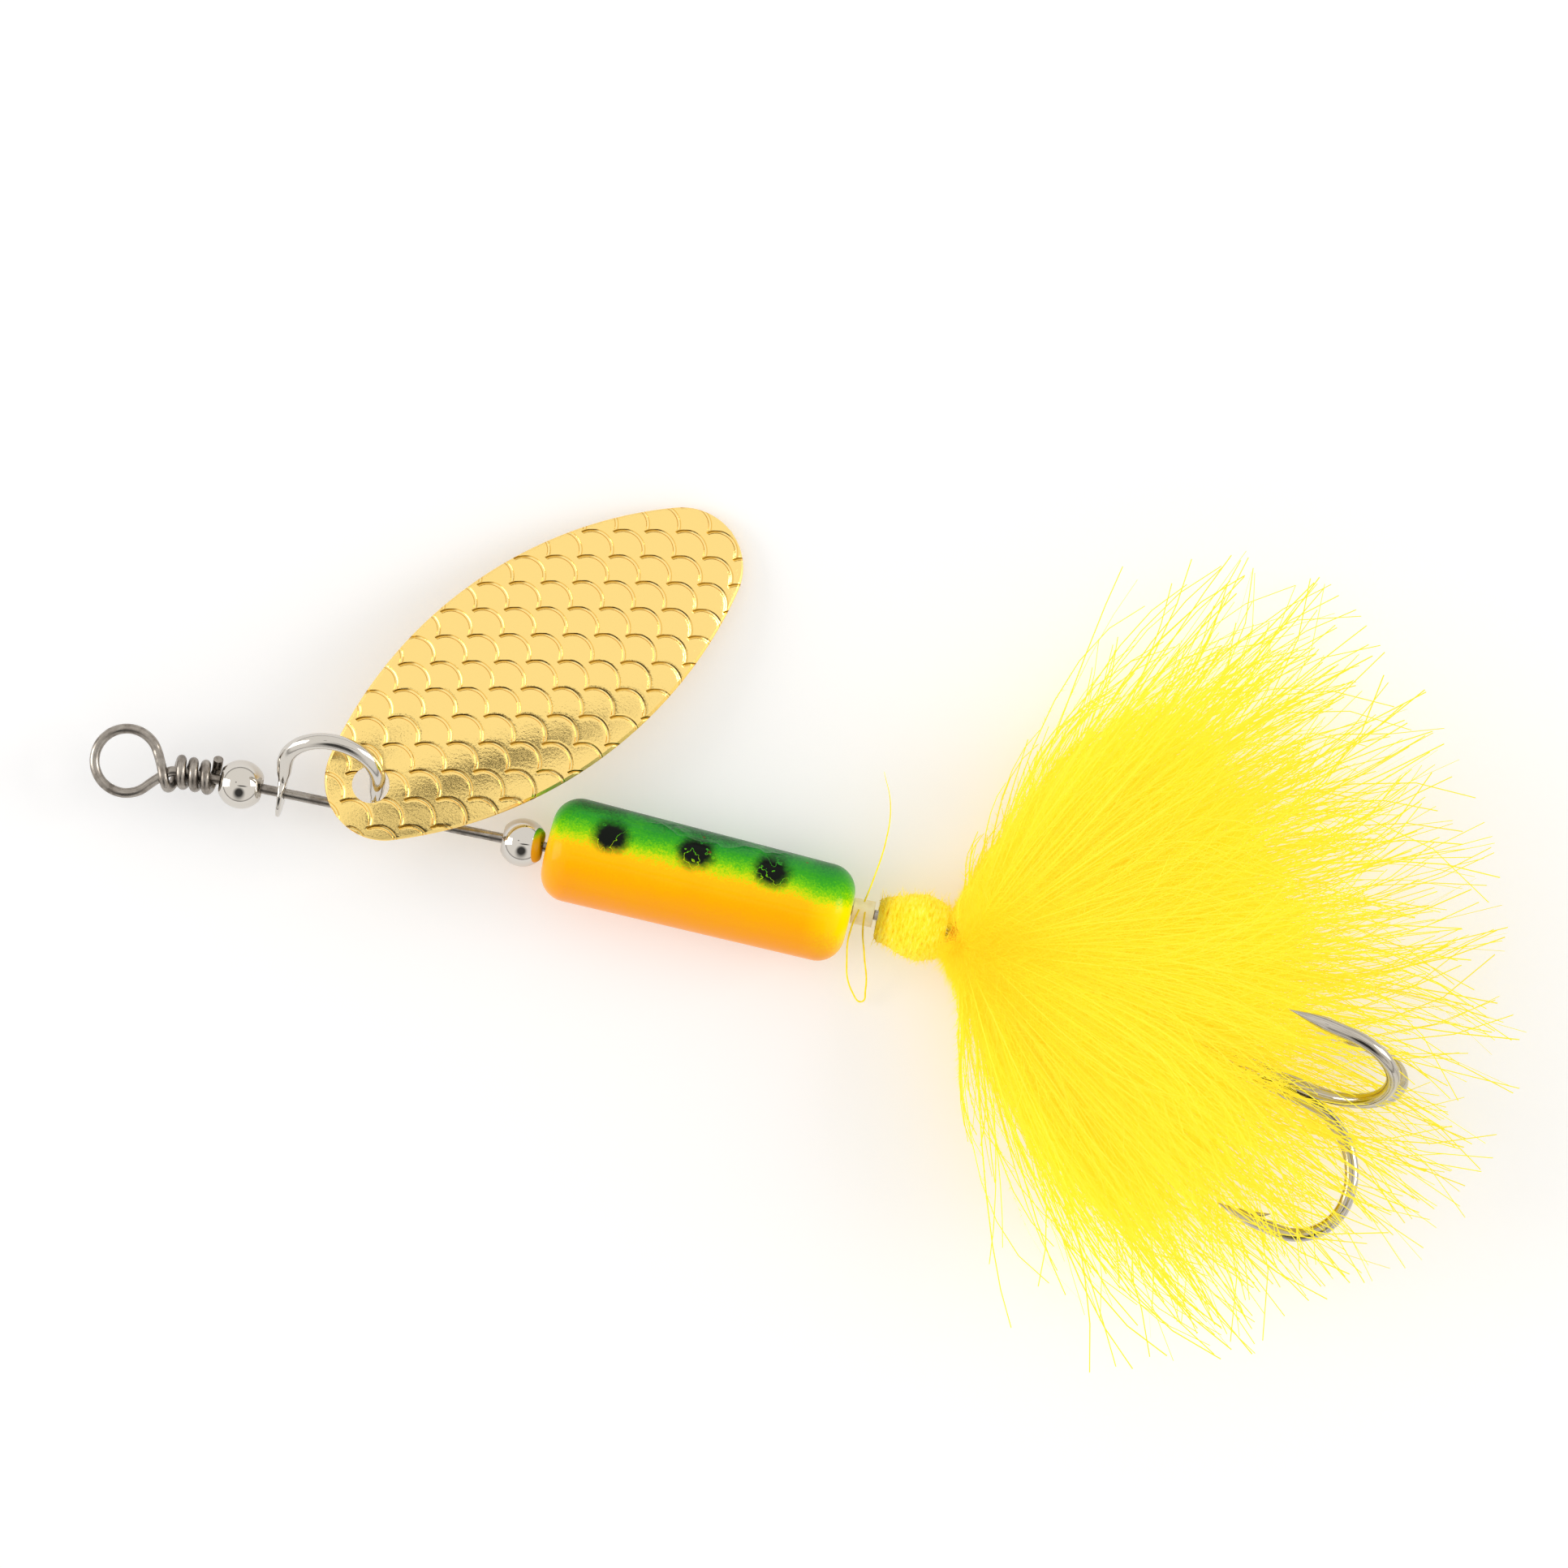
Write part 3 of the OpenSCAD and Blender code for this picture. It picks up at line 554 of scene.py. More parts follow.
v_part = add_node(tree, "Math", {"operation": "FRACT", 0: v})
along_row = add_node(tree, "VectorMath", {"operation": "SCALE", 0: row_step, "Scale": u_back})
along_cusps = add_node(tree, "VectorMath", {"operation": "SCALE", 0: cusp_step, "Scale": v_part})
in_cell = add_node(tree, "VectorMath", {"operation": "ADD", 0: along_row, 1: along_cusps})
from_centre = add_node(tree, "VectorMath", {"operation": "DISTANCE", 0: in_cell, 1: arc_centre})
outside = add_node(tree, "Math", {"operation": "SUBTRACT", 0: from_centre, 1: arc_r})
# groove: steep inner wall 0.26 mm inside the arc, a flat floor and a wider outer wall
reach = add_node(tree, "MapRange", {"range": (-0.4, 0.2, 0.0, 1.0), "Value": outside})
walls = [(0.14, 1.0), (0.26, 0.12), (0.44, 0.0), (0.66, 1.0)]
groove = add_node(tree, "ValToRGB", {"stops": walls, 0: reach})
groove.color_ramp.interpolation = "EASE"
# painted shade: beside each cusp the groove is coloured dark brown, where its wall mirrors dark
outward = add_node(tree, "VectorMath", {"operation": "SUBTRACT", 0: in_cell, 1: arc_centre})
outward = add_node(tree, "VectorMath", {"operation": "NORMALIZE", 0: outward})
cusp_way = (-arc_centre).normalized()
toward_cusp = add_node(tree, "VectorMath", {"operation": "DOT_PRODUCT", 0: outward, 1: cusp_way})
depth_and_cusp_shade = add_node(tree, "MapRange", {"interpolation_type": "SMOOTHSTEP", "Value": toward_cusp})
set_node(depth_and_cusp_shade, {"range": (0.80, 0.97, 0.0, 1.0)})
peel = add_node(tree, "TexNoise", {"Scale": 4600.0, "Detail": 3.0, "Roughness": 0.6, "Vector": place})
stamped = add_node(tree, "Bump", {"Distance": 0.045 * MM, "Height": groove})
skin = add_node(tree, "Bump", {"Distance": 0.014 * MM, "Height": peel, "Normal": stamped})
# colours along the groove: painted shade in amber on its walls and a painted highlight in pale gold
# between them
groove_shade_colours = [
    (0.12, "#FFDF8A"), (0.20, "#E8A53A"), (0.28, "#FFE08A"), (0.46, "#FFE79C"), (0.58, "#F0B84C"),
    (0.70, "#FFDF8A")
]
lines = add_node(tree, "ValToRGB", {"stops": groove_shade_colours, 0: reach})
cusp_shade_colours = [
    (0.16, "#FFDF8A"), (0.30, "#F4C661"), (0.44, "#C08A28"), (0.56, "#7E5A14"), (0.64, "#D9A440"),
    (0.72, "#FFDF8A")
]
cusp_painted_shade = add_node(tree, "ValToRGB", {"stops": cusp_shade_colours, 0: reach})
# the plate's colour: the groove's painted shade, turning to the darker painted shade beside each cusp
plate = add_node(tree, "Mix", {"data_type": "RGBA", "Factor": depth_and_cusp_shade, 6: lines, 7: cusp_painted_shade})
set_node(shader, {"Base Color": plate, "Roughness": dull, "Normal": skin})
blade.data.materials.append(gold)
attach(blade, "blade")
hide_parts("blade")

# Painted body
# A cast brass weight with a loose bore, dipped white and airbrushed: yellow and orange from
# the belly, green down the back, three soft dark spots, then dipped in clear lacquer.
body_axis = Vector(joints["body_spin"]["axis"])
body_mid = Vector(joints["body_spin"]["pos_m"]) / MM
body_yaw = math.atan2(body_axis.y, body_axis.x)
body_len, body_front_r, body_rear_r, round_r, bore_r = 25.1, 4.25, 4.0, 2.2, 1.15


def corner_arc(x, r, start, stop):
    """Points of the body's rounded corner about x, r."""
    turns = np.linspace(start, stop, 14)
    return [(x + round_r * math.sin(a), r + round_r * math.cos(a)) for a in turns]


end, shoulder = body_len / 2, body_len / 2 - round_r
taper = (body_rear_r - body_front_r) / (2 * shoulder)
profile = [(-end, bore_r + 0.25)]
profile += corner_arc(-shoulder, body_front_r - round_r, -math.pi / 2, 0)
straight = np.linspace(-shoulder, shoulder, 42)[1:-1]
profile += [(x, body_front_r + taper * (x + shoulder)) for x in straight]
profile += corner_arc(shoulder, body_rear_r - round_r, 0, math.pi / 2)
profile += [(end, bore_r + 0.25), (end - 0.2, bore_r + 0.06), (end - 0.6, bore_r)]
profile += [(-end + 0.6, bore_r), (-end + 0.2, bore_r + 0.06)]
body = turned_piece("painted_body", profile, body_mid, yaw=body_yaw)

# lacquered paint over brass: deep gloss, colours fogged into each other by the airbrush, and a faint
# painted glow in the paint's own colours
finish_and_painted_glow = {"Roughness": 0.35, "Specular IOR Level": 0.05, "Emission Strength": 0.12}
finish_and_painted_glow |= {"Coat Weight": 0.3, "Coat Roughness": 0.02, "Coat IOR": 1.33}
paint, tree, shader, place = surface("airbrushed_lacquer", finish_and_painted_glow)
back = (Matrix.Translation(body_mid * MM) @ Matrix.Rotation(body_yaw, 4, "Z")).inverted()
in_body = add_node(tree, "Mapping", {"Scale": (1 / MM,) * 3, "Vector": place})
set_node(in_body, {"Rotation": back.to_euler(), "Location": back.translation / MM})
axes = add_node(tree, "SeparateXYZ", {0: in_body})
fog = add_node(tree, "TexNoise", {"Scale": 0.35, "Detail": 3.0, "Vector": in_body})
speckle = add_node(tree, "TexNoise", {"Scale": 5.5, "Detail": 2.0, "Roughness": 0.8, "Vector": in_body})
drift = add_node(tree, "MapRange", {"range": (0.25, 0.75, -0.35, 0.35), "Value": fog})
spray = add_node(tree, "MapRange", {"range": (0.25, 0.75, -0.55, 0.55), "Value": speckle})
edge = add_node(tree, "Math", {"operation": "ADD", 0: axes.outputs["Y"], 1: drift})
edge = add_node(tree, "Math", {"operation": "ADD", 0: edge, 1: spray})
# rear end: the yellow ground shows lower down, where the orange fades out
rear_fade = add_node(tree, "MapRange", {"range": (9.0, 12.2, 0.0, 1.0), "Value": axes.outputs["X"]})
up_body = add_node(tree, "MapRange", {"range": (-4.3, 4.3, 0.0, 1.0), "Value": edge})
# in both ramps the last stop, near-black green at the back edge, is partly the paint's darker back and
# partly painted shade where the side turns away
belly_to_back = [
    (0.00, "#FFA038"), (0.14, "#FFA41C"), (0.34, "#FFB000"), (0.56, "#FFC000"), (0.62, "#D0DC00"),
    (0.70, "#7ACC00"), (0.79, "#3CAA18"), (0.90, "#1F8A2C"), (0.99, "#0C4A20")
]
at_rear = [
    (0.00, "#FF9A30"), (0.16, "#FFB810"), (0.32, "#FFE000"), (0.58, "#FFEC00"), (0.64, "#C8E400"),
    (0.72, "#66C808"), (0.80, "#3CAA18"), (0.90, "#1F8A2C"), (0.99, "#0C4A20")
]
coats = add_node(tree, "ValToRGB", {"stops": belly_to_back, 0: up_body})
rear_coats = add_node(tree, "ValToRGB", {"stops": at_rear, 0: up_body})
colour = add_node(tree, "Mix", {"data_type": "RGBA", "Factor": rear_fade, 6: coats, 7: rear_coats})
# hairline cracks in the black, where the green ground shows through
crack_way = add_node(tree, "TexNoise", {"Scale": 0.62, "Detail": 3.0, "Vector": in_body})
crack = add_node(tree, "Math", {"operation": "COMPARE", 0: crack_way, 1: 0.53, 2: 0.007})
sound = add_node(tree, "Math", {"operation": "MULTIPLY_ADD", 0: crack, 1: -0.8, 2: 1.0})
ragged = add_node(tree, "TexNoise", {"Scale": 0.9, "Detail": 5.0, "Roughness": 0.7, "Vector": in_body})
spot_long, spot_wide = 1.6, 1.3
for spot in ((39.71, 1.98, 0), (46.60, 2.06, 0), (52.86, 1.88, 0)):
    at = Matrix.Rotation(-body_yaw, 4, "Z") @ (Vector(spot) - body_mid)
    off = add_node(tree, "VectorMath", {"operation": "MULTIPLY_ADD", 0: in_body})
    set_node(off, {1: (1 / spot_long, 1 / spot_wide, 0), 2: (-at.x / spot_long, -at.y / spot_wide, 0)})
    far = add_node(tree, "VectorMath", {"operation": "LENGTH", 0: off})
    far = add_node(tree, "Math", {"operation": "MULTIPLY_ADD", 0: ragged, 1: 0.8, 2: far})
    dark = add_node(tree, "MapRange", {"interpolation_type": "SMOOTHSTEP", "Value": far})
    set_node(dark, {"range": (0.95, 1.72, 1.0, 0.0)})
    dark = add_node(tree, "Math", {"operation": "MULTIPLY", 0: dark, 1: sound})
    black = hex_colour("#040A03")
    colour = add_node(tree, "Mix", {"data_type": "RGBA", "Factor": dark, 6: colour, 7: black})
# dust nibs: specks of dark dust, 0.1 mm across, caught in the wet paint
nibs = add_node(tree, "TexVoronoi", {"Scale": 0.42, "Vector": in_body})
nib = add_node(tree, "MapRange", {"range": (0.035, 0.075, 0.8, 0.0), "Value": nibs})
dust = hex_colour("#6A2C08")
colour = add_node(tree, "Mix", {"data_type": "RGBA", "Factor": nib, 6: colour, 7: dust})
ripple = add_node(tree, "TexNoise", {"Scale": 0.5, "Detail": 1.0, "Vector": in_body})
# a run of lacquer along the back, where the dip drained off: a low wavy ridge
run_way = add_node(tree, "TexNoise", {"Scale": 0.45, "Detail": 2.0, "Vector": in_body})
run_line = add_node(tree, "Math", {"operation": "MULTIPLY_ADD", 0: run_way, 1: 2.4, 2: axes.outputs["Y"]})
run_place = add_node(tree, "MapRange", {"range": (3.2, 6.2, 0.0, 1.0), "Value": run_line})
swell = [(0.40, 0.0), (0.50, 1.0), (0.54, 0.55), (0.66, 0.0)]
ridge = add_node(tree, "ValToRGB", {"stops": swell, 0: run_place})
run_ends = add_node(tree, "VectorMath", {"operation": "DISTANCE", 0: in_body, 1: (0.8, 3.4, 2.0)})
run_fade = add_node(tree, "MapRange", {"range": (4.5, 6.5, 1.0, 0.0), "Value": run_ends})
run_height = add_node(tree, "Math", {"operation": "MULTIPLY", 0: ridge, 1: run_fade})
run_bump = add_node(tree, "Bump", {"Distance": 0.12 * MM, "Height": run_height})
lacquer = add_node(tree, "Bump", {"Strength": 0.25, "Distance": 0.12 * MM, "Height": ripple})
set_node(lacquer, {"Normal": run_bump})
# the paint's colours serve as its base and as a faint painted glow
set_node(shader, {"Base Color": colour, "Emission Color": colour})
set_node(shader, {"Normal": lacquer, "Coat Normal": lacquer})
body.data.materials.append(paint)
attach(body, "body")
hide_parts("lure_body")

# Sleeve
# A short cut of clear soft tubing, pushed over the doubled wire to hold the loop shut. It
# has gone slightly milky, and stray yellow fibres cling to it.
low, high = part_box("loop_sleeve")
sleeve_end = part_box("yarn_collar")[0].x - 0.25 * MM  # clear of the collar as it swings
sleeve_mid = Vector((low.x + sleeve_end, low.y + high.y, low.z + high.z)) / 2 / MM
sleeve_half = (sleeve_end - low.x) / 2 / MM
bore_r, outer_r, round_off = 0.865, 1.065, 0.04
wall = [(sleeve_half - round_off, bore_r), (sleeve_half, 0.90)]
wall += [(sleeve_half, 1.03), (sleeve_half - round_off, outer_r)]
profile = [(-x, r) for x, r in wall[1::-1]] + wall + [(-x, r) for x, r in wall[:1:-1]]
sleeve = turned_piece("sleeve_clear", profile, sleeve_mid, steps=48)
# a faint painted glow in pale cream brightens the tube
painted_glow = {"Emission Strength": 0.12, "Emission Color": hex_colour("#EFE2B4")}
finish_and_painted_glow = {"IOR": 1.45, "Roughness": 0.4, **painted_glow}
soft_tube, tree, shader, place = surface("milky_soft_tube", finish_and_painted_glow)
milk = add_node(tree, "TexNoise", {"Scale": 900.0, "Detail": 3.0, "Vector": place})
cloudy = add_node(tree, "ValToRGB", {"stops": [(0.35, "#E8D29C"), (0.65, "#F6E8BE")], 0: milk})
set_node(shader, {"Base Color": cloudy})
sleeve.data.materials.append(soft_tube)
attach(sleeve, "shaft")
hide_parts("loop_sleeve")

# Treble hook
# Three bronze-steel hooks brazed along their shanks: one wire makes two hooks and the eye
# between them, the third is laid in beside. Needle points with a cut barb, nickel plated.
hook_yaw, hook_pitch, hook_roll = math.radians(-11.6), math.radians(10.4), math.radians(-30.9)
side_dir = np.array([-math.sin(hook_yaw), math.cos(hook_yaw), 0])
ahead = np.array([math.cos(hook_yaw), math.sin(hook_yaw), 0])
shank_dir = math.cos(hook_pitch) * ahead + np.array([0, 0, math.sin(hook_pitch)])
up_dir = np.cross(shank_dir, side_dir)
hook_r, shank_r, shank_len = 0.55, 0.647, 34.6
bend_r1, bend_r2, point_leg, point_len, barb_back = 6.2, 4.2, 5.2, 3.2, 4.3
eye_offset, eye_ring_r = 0.225, 1.3
flat_z = shank_r + bend_r1 + bend_r2
turn_x = shank_len + bend_r1 - bend_r2
point_x = turn_x - point_leg


def on_treble(x, y, z):
    """A point of the treble, given along its shank, to its side and up from it."""
    return np.array(pivot) + x * shank_dir + y * side_dir + z * up_dir


def round_shank(line, turn):
    """Sets points (along, out, thickness) at an angle round the shank."""
    return [(on_treble(x, -h * math.sin(turn), h * math.cos(turn)), size) for x, h, size in line]


def hook_line(start, turn):
    """Middle line and thickness of one hook, from its shank to its point."""
    line = [(x, shank_r, 1.0) for x in np.linspace(start, shank_len, 12)]
    for a in np.linspace(0.08, math.pi / 2, 20):
        line.append((shank_len + bend_r1 * math.sin(a), shank_r + bend_r1 * (1 - math.cos(a)), 1.0))
    for a in np.linspace(0.08, math.pi / 2, 18):
        line.append((turn_x + bend_r2 * math.cos(a), flat_z - bend_r2 * (1 - math.sin(a)), 1.0))
    for t in np.linspace(0, 1, 16)[1:]:
        x = turn_x - t * point_leg
        close = min(1.0, (x - point_x) / point_len)
        line.append((x, flat_z - 0.18 * (1 - close) ** 1.5, max(0.03, 1 - (1 - close) ** 1.35)))
    return round_shank(line, turn)


def barb_line(turn):
    """Middle line and thickness of the sliver that is cut up from the point leg."""
    cut = [(2.4, 0.16, 0.62), (1.5, 0.38, 0.52), (0.6, 0.72, 0.30), (0, 1.05, 0.05)]
    return round_shank([(point_x + barb_back - x, flat_z - h, size) for x, h, size in cut], turn)


def joined(first, *others):
    """Joins the other pieces into the first, as brazing or plating does."""
    select_only(first, *others)
    bpy.ops.object.join()
    return first


def hook_wire(name, line, **finish):
    """Hook wire along a line of (point, thickness)."""
    return bent_wire(name, [p for p, _ in line], hook_r, [t for _, t in line], **finish)


pair_turns = (hook_roll + math.radians(120), hook_roll + math.radians(240))
start = eye_offset + eye_ring_r + 0.19
eye_line = [
    (on_treble(eye_offset + eye_ring_r * math.cos(a), eye_ring_r * math.sin(a), 0), 1.0)
    for a in np.radians(np.arange(-50, -311, -13))
]
pair_line = hook_line(start, pair_turns[0])[::-1] + eye_line + hook_line(start, pair_turns[1])
pair = hook_wire("hook_pair_wire", pair_line, kind="POLY")
pair = joined(pair, *[hook_wire("barb", barb_line(t), sides=3) for t in pair_turns])
single_line = hook_line(eye_offset + eye_ring_r + 1.76, hook_roll)
single = hook_wire("hook_single_wire", single_line, kind="POLY")
single = joined(single, hook_wire("barb", barb_line(hook_roll), sides=3))

# bright nickel on hook wire: mirror flanks, ground bright at the points
grain, haze = {"Scale": 650.0, "Detail": 6.0, "Roughness": 0.7}, (0.35, 0.7, 0.04, 0.18)
plated, tree, shader = scuffed("nickel_hook_wire", "#C6C0B6", 0.09, grain, haze, 0.3, 0.012)
# tool marks from the bending and grinding: fine dark lines that run along the wire
along = add_node(tree, "TexCoord").outputs["UV"]
drawn = add_node(tree, "Mapping", {"Scale": (5, 30, 1), "Vector": along})
scores = add_node(tree, "TexNoise", {"Scale": 1.0, "Detail": 5.0, "Roughness": 0.75, "Vector": drawn})
tones = [(0.36, "#6F685C"), (0.46, "#B8B1A5"), (0.62, "#D2CCC2")]
scored = add_node(tree, "ValToRGB", {"stops": tones, 0: scores})
set_node(shader, {"Base Color": scored})
for piece, node in ((pair, "hook_pair"), (single, "hook_single")):
    piece.data.materials.append(plated)
    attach(piece, "hook")
    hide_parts(node)

# Yarn collar
# Yellow floss wound over the hook's eye and the wire loop, hiding the joint. Each turn lies
# slightly askew, and a halo of broken fibres stands off it.
collar_x = (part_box("yarn_collar")[0].x / MM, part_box("yarn_collar")[1].x / MM)
collar_y = -0.25


def collar_radius(x):
    """Outer radius of the wound yarn at x along the shaft."""
    from_mouth = [0, 0.35, 1.4, 2.5, 3.9, 4.9, 5.8]
    return np.interp(x - collar_x[0], from_mouth, [1.60, 1.72, 1.98, 2.45, 2.66, 2.36, 2.0])


def on_collar(x, r, a):
    """Points at x along the collar, at radius r and angle a about its axis."""
    return np.stack([x, collar_y + r * np.cos(a), pivot.z + r * np.sin(a)], -1)


dice = np.random.default_rng(7)
lay = []
yarn_r, turns, per_turn, strand_count = 0.14, 16.5, 24, 150
for k in range(int(turns * per_turn) + 1):
    a = 2 * math.pi * k / per_turn
    x = collar_x[0] + 0.42 + (collar_x[1] - collar_x[0] - 0.84) * k / (turns * per_turn)
    x = max(collar_x[0] + 0.35, x + 0.20 * math.sin(a + 0.9) + 0.09 * math.sin(2.7 * a))
    r = collar_radius(x) - 0.05 + 0.03 * math.sin(2.3 * a + 1)
    lay.append(on_collar(x, r, a))
slubs = [1 + 0.14 * math.sin(0.7 * k) for k in range(len(lay))]
wound = bent_wire("yarn_wound", lay, yarn_r, slubs, steps=3, sides=4)
strands = []
for _ in range(strand_count):
    a0 = dice.uniform(0, 2 * math.pi)
    x0 = dice.uniform(collar_x[0] + 0.5, collar_x[1] - 0.5)
    slant = dice.normal(0.05, 0.22)
    sweep = dice.uniform(0.9, 2.4)
    path = []
    for t in np.linspace(0, 1, 8):
        x = x0 + slant * t * sweep + 0.05 * math.sin(9 * t)
        x = min(collar_x[1] - 0.1, max(collar_x[0] + 0.1, x))
        r = collar_radius(x) - 0.04 + 0.06 * math.sin(5 * t + a0)
        path.append(on_collar(x, r, a0 + t * sweep))
    ends = [0.4, 1, 1, 1, 1, 1, 1, 0.4]
    strands.append(bent_wire("strand", path, dice.uniform(0.06, 0.12), ends, steps=2, sides=1))
# core under the winding, hollow round the loop with room for it to swing
core_ends = (collar_x[0] + 0.1, collar_x[1] - 0.1)
core_profile = [(x, collar_radius(x) - yarn_r) for x in np.linspace(*core_ends, 14)]
core_profile += [(core_ends[1], 0.02), (pivot.x + 2.5, 0.02), (pivot.x + 2.2, 1.9)]
core_profile += [(pivot.x - 1.3, 1.95), (core_ends[0], 1.45)]
core = turned_piece("yarn_core", core_profile, (0, collar_y, pivot.z), steps=32)
collar = joined(wound, core, *strands)
collar.name = "yarn_collar_wound"


def face_mesh(name, points, faces):
    """A mesh object from arrays of points in millimetres and of faces with equal corners."""
    mesh = bpy.data.meshes.new(name)
    mesh.vertices.add(len(points))
    mesh.vertices.foreach_set("co", (points * MM).astype(np.float32).ravel())
    mesh.loops.add(faces.size)
    mesh.loops.foreach_set("vertex_index", faces.astype(np.int32).ravel())
    mesh.polygons.add(len(faces))
    starts = np.arange(0, faces.size, faces.shape[1], dtype=np.int32)
    mesh.polygons.foreach_set("loop_start", starts)
    mesh.update(calc_edges=True)
    piece = bpy.data.objects.new(name, mesh)
    scene.collection.objects.link(piece)
    return piece


def unit(vectors):
    """The vectors, each scaled to length one."""
    return vectors / (np.linalg.norm(vectors, axis=-1, keepdims=True) + 1e-9)


def ribbons(line, across, width):
    """Points and quads of flat strips, where line holds (strips, stations, 3) middle points."""
    count, stations = line.shape[:2]
    points = np.stack([line - across * width / 2, line + across * width / 2], 2).reshape(-1, 3)
    base = (np.arange(count) * 2 * stations)[:, None] + (np.arange(stations - 1) * 2)[None, :]
    return points, np.stack([base, base + 1, base + 3, base + 2], -1).reshape(-1, 4)


def fibre_mesh(name, roots, tips, bow, width, parts):
    """Thin flat fibres from roots to tips, bowed sideways, in one mesh."""
    t = np.linspace(0, 1, parts + 1)[None, :, None]
    line = roots[:, None] * (1 - t) + tips[:, None] * t
    line = line + bow[:, None] * (4 * t * (1 - t))
    across = unit(np.cross(unit(tips - roots), bow + 1e-6))[:, None]
    piece = face_mesh(name, *ribbons(line, across, (1 - 0.8 * t) * width[:, None, None]))
    piece.data.shade_smooth()
    return piece


# halo of broken fibres
count = 3200
a = dice.uniform(0, 2 * math.pi, count)
x = dice.uniform(collar_x[0] + 0.15, collar_x[1], count)
r = collar_radius(x) - 0.05
roots = on_collar(x, r, a)
outward = np.stack([np.zeros(count), np.cos(a), np.sin(a)], 1)
wrapped = np.stack([dice.normal(0, 0.6, count), -np.sin(a), np.cos(a)], 1)
way = outward * dice.uniform(0.0, 1.1, count)[:, None] + wrapped * dice.choice([-1, 1], count)[:, None]
tips = roots + way * (0.15 + 0.75 * dice.uniform(0, 1, count) ** 2)[:, None]
tips[:, 0] = np.maximum(tips[:, 0], collar_x[0])  # none ahead of the mouth, so the sleeve stays clear
bow = dice.normal(0, 0.05, (count, 3))
fuzz = fibre_mesh("yarn_fuzz", roots, tips, bow, dice.uniform(0.035, 0.065, count), 4)

# rayon floss: soft, almost matt, lighter where single fibres catch the light, with a faint painted glow
# in its own yellow
finish_and_painted_glow = {"Roughness": 0.75, "Specular IOR Level": 0.2, "Sheen Weight": 0.2, "Emission Strength": 0.24}
floss, tree, shader, place = surface("yellow_floss", finish_and_painted_glow)
twist = add_node(tree, "Mapping", {"Scale": (5200, 1500, 1500), "Vector": place})
fibres = add_node(tree, "TexNoise", {"Scale": 1.0, "Detail": 5.0, "Roughness": 0.7, "Vector": twist})
dye = [(0.30, "#F0C000"), (0.42, "#FFE01C"), (0.56, "#FFEE3C"), (0.72, "#FFF68A")]
dyed = add_node(tree, "ValToRGB", {"stops": dye, 0: fibres})
relief = add_node(tree, "Bump", {"Strength": 0.8, "Distance": 0.06 * MM, "Height": fibres})
# the winding turns a darker brownish yellow towards its front edge
front = Vector((61.2, -0.25, -0.43)) * MM
from_front = add_node(tree, "VectorMath", {"operation": "DISTANCE", 0: place, 1: front})
darker_front = add_node(tree, "MapRange", {"range": (1.7 * MM, 2.9 * MM, 0.6, 0.0), "Value": from_front})
brown_and_wax = hex_colour("#A8841C")
dyed = add_node(tree, "Mix", {"data_type": "RGBA", "Factor": darker_front, 6: dyed, 7: brown_and_wax})
set_node(shader, {"Base Color": dyed, "Emission Color": dyed, "Normal": relief})
collar = joined(collar, fuzz)
collar.data.materials.clear()
collar.data.materials.append(floss)
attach(collar, "hook")
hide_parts("yarn_collar")

# Tying thread
# Waxed yellow tying thread, wound tight over the feather butts in a dozen close turns and
# finished with a few crossing ones.
thread_from, thread_to, thread_r = 3.25, 4.45, 0.085
turns, per_turn = 14, 20
lay = []
for k in range(turns * per_turn + 1):
    a = 2 * math.pi * k / per_turn
    t = k / (turns * per_turn)
    along_shank = thread_from + (thread_to - thread_from) * (0.5 - 0.5 * math.cos(2 * math.pi * t))
    r = 1.66 + 0.10 * t + 0.04 * math.sin(1.7 * a)
    lay.append(on_treble(along_shank, r * math.cos(a), r * math.sin(a)))
thread = bent_wire("tying_thread_wound", lay, thread_r, steps=2, sides=2)
waxed, tree, shader, place = surface("waxed_thread", {"Roughness": 0.45})
brown_and_wax = add_node(tree, "TexNoise", {"Scale": 1400.0, "Detail": 4.0, "Vector": place})
dye = [(0.33, "#C79400"), (0.45, "#FFC000"), (0.65, "#FFD818")]
dyed = add_node(tree, "ValToRGB", {"stops": dye, 0: brown_and_wax})
set_node(shader, {"Base Color": dyed})
thread.data.materials.append(waxed)
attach(thread, "hook")
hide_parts("tying_thread")

# Marabou tail
# Twelve tips of dyed turkey marabou, tied in round the shank in two layers. Each is a soft
# quill with hundreds of long limp barbs, and every barb is fringed with fine barbules.
lower_heading = (66, 39, 18, -4, -25, -46)
upper_heading = (51, 29, 7, -14, -35, -57)
fan_origin = np.array([67.65, -0.29])
table_mm = table_z / MM


def tail_length(heading, share):
    """Reach of a barb that points along heading, where share ranks it from short to long."""

    def rise(start, end):
        t = np.clip((heading - start) / (end - start), 0, 1)
        return t * t * (3 - 2 * t)

    inside = rise(-64, -45) * rise(80, 56)
    dense = 27.5 * inside * (1 - 0.10 * rise(14, 26))
    longest = 48.5 - np.where(heading > -15, 0.09 * (heading + 15), 0.25 * (-15 - heading))
    short = 1.5 + 0.70 * dense + 0.30 * dense * np.minimum(share / 0.60, 1)
    past = np.clip((share - 0.60) / 0.40, 0, 1) ** (3.6 + 2.5 * (1 - inside))
    return short + (longest - short) * past


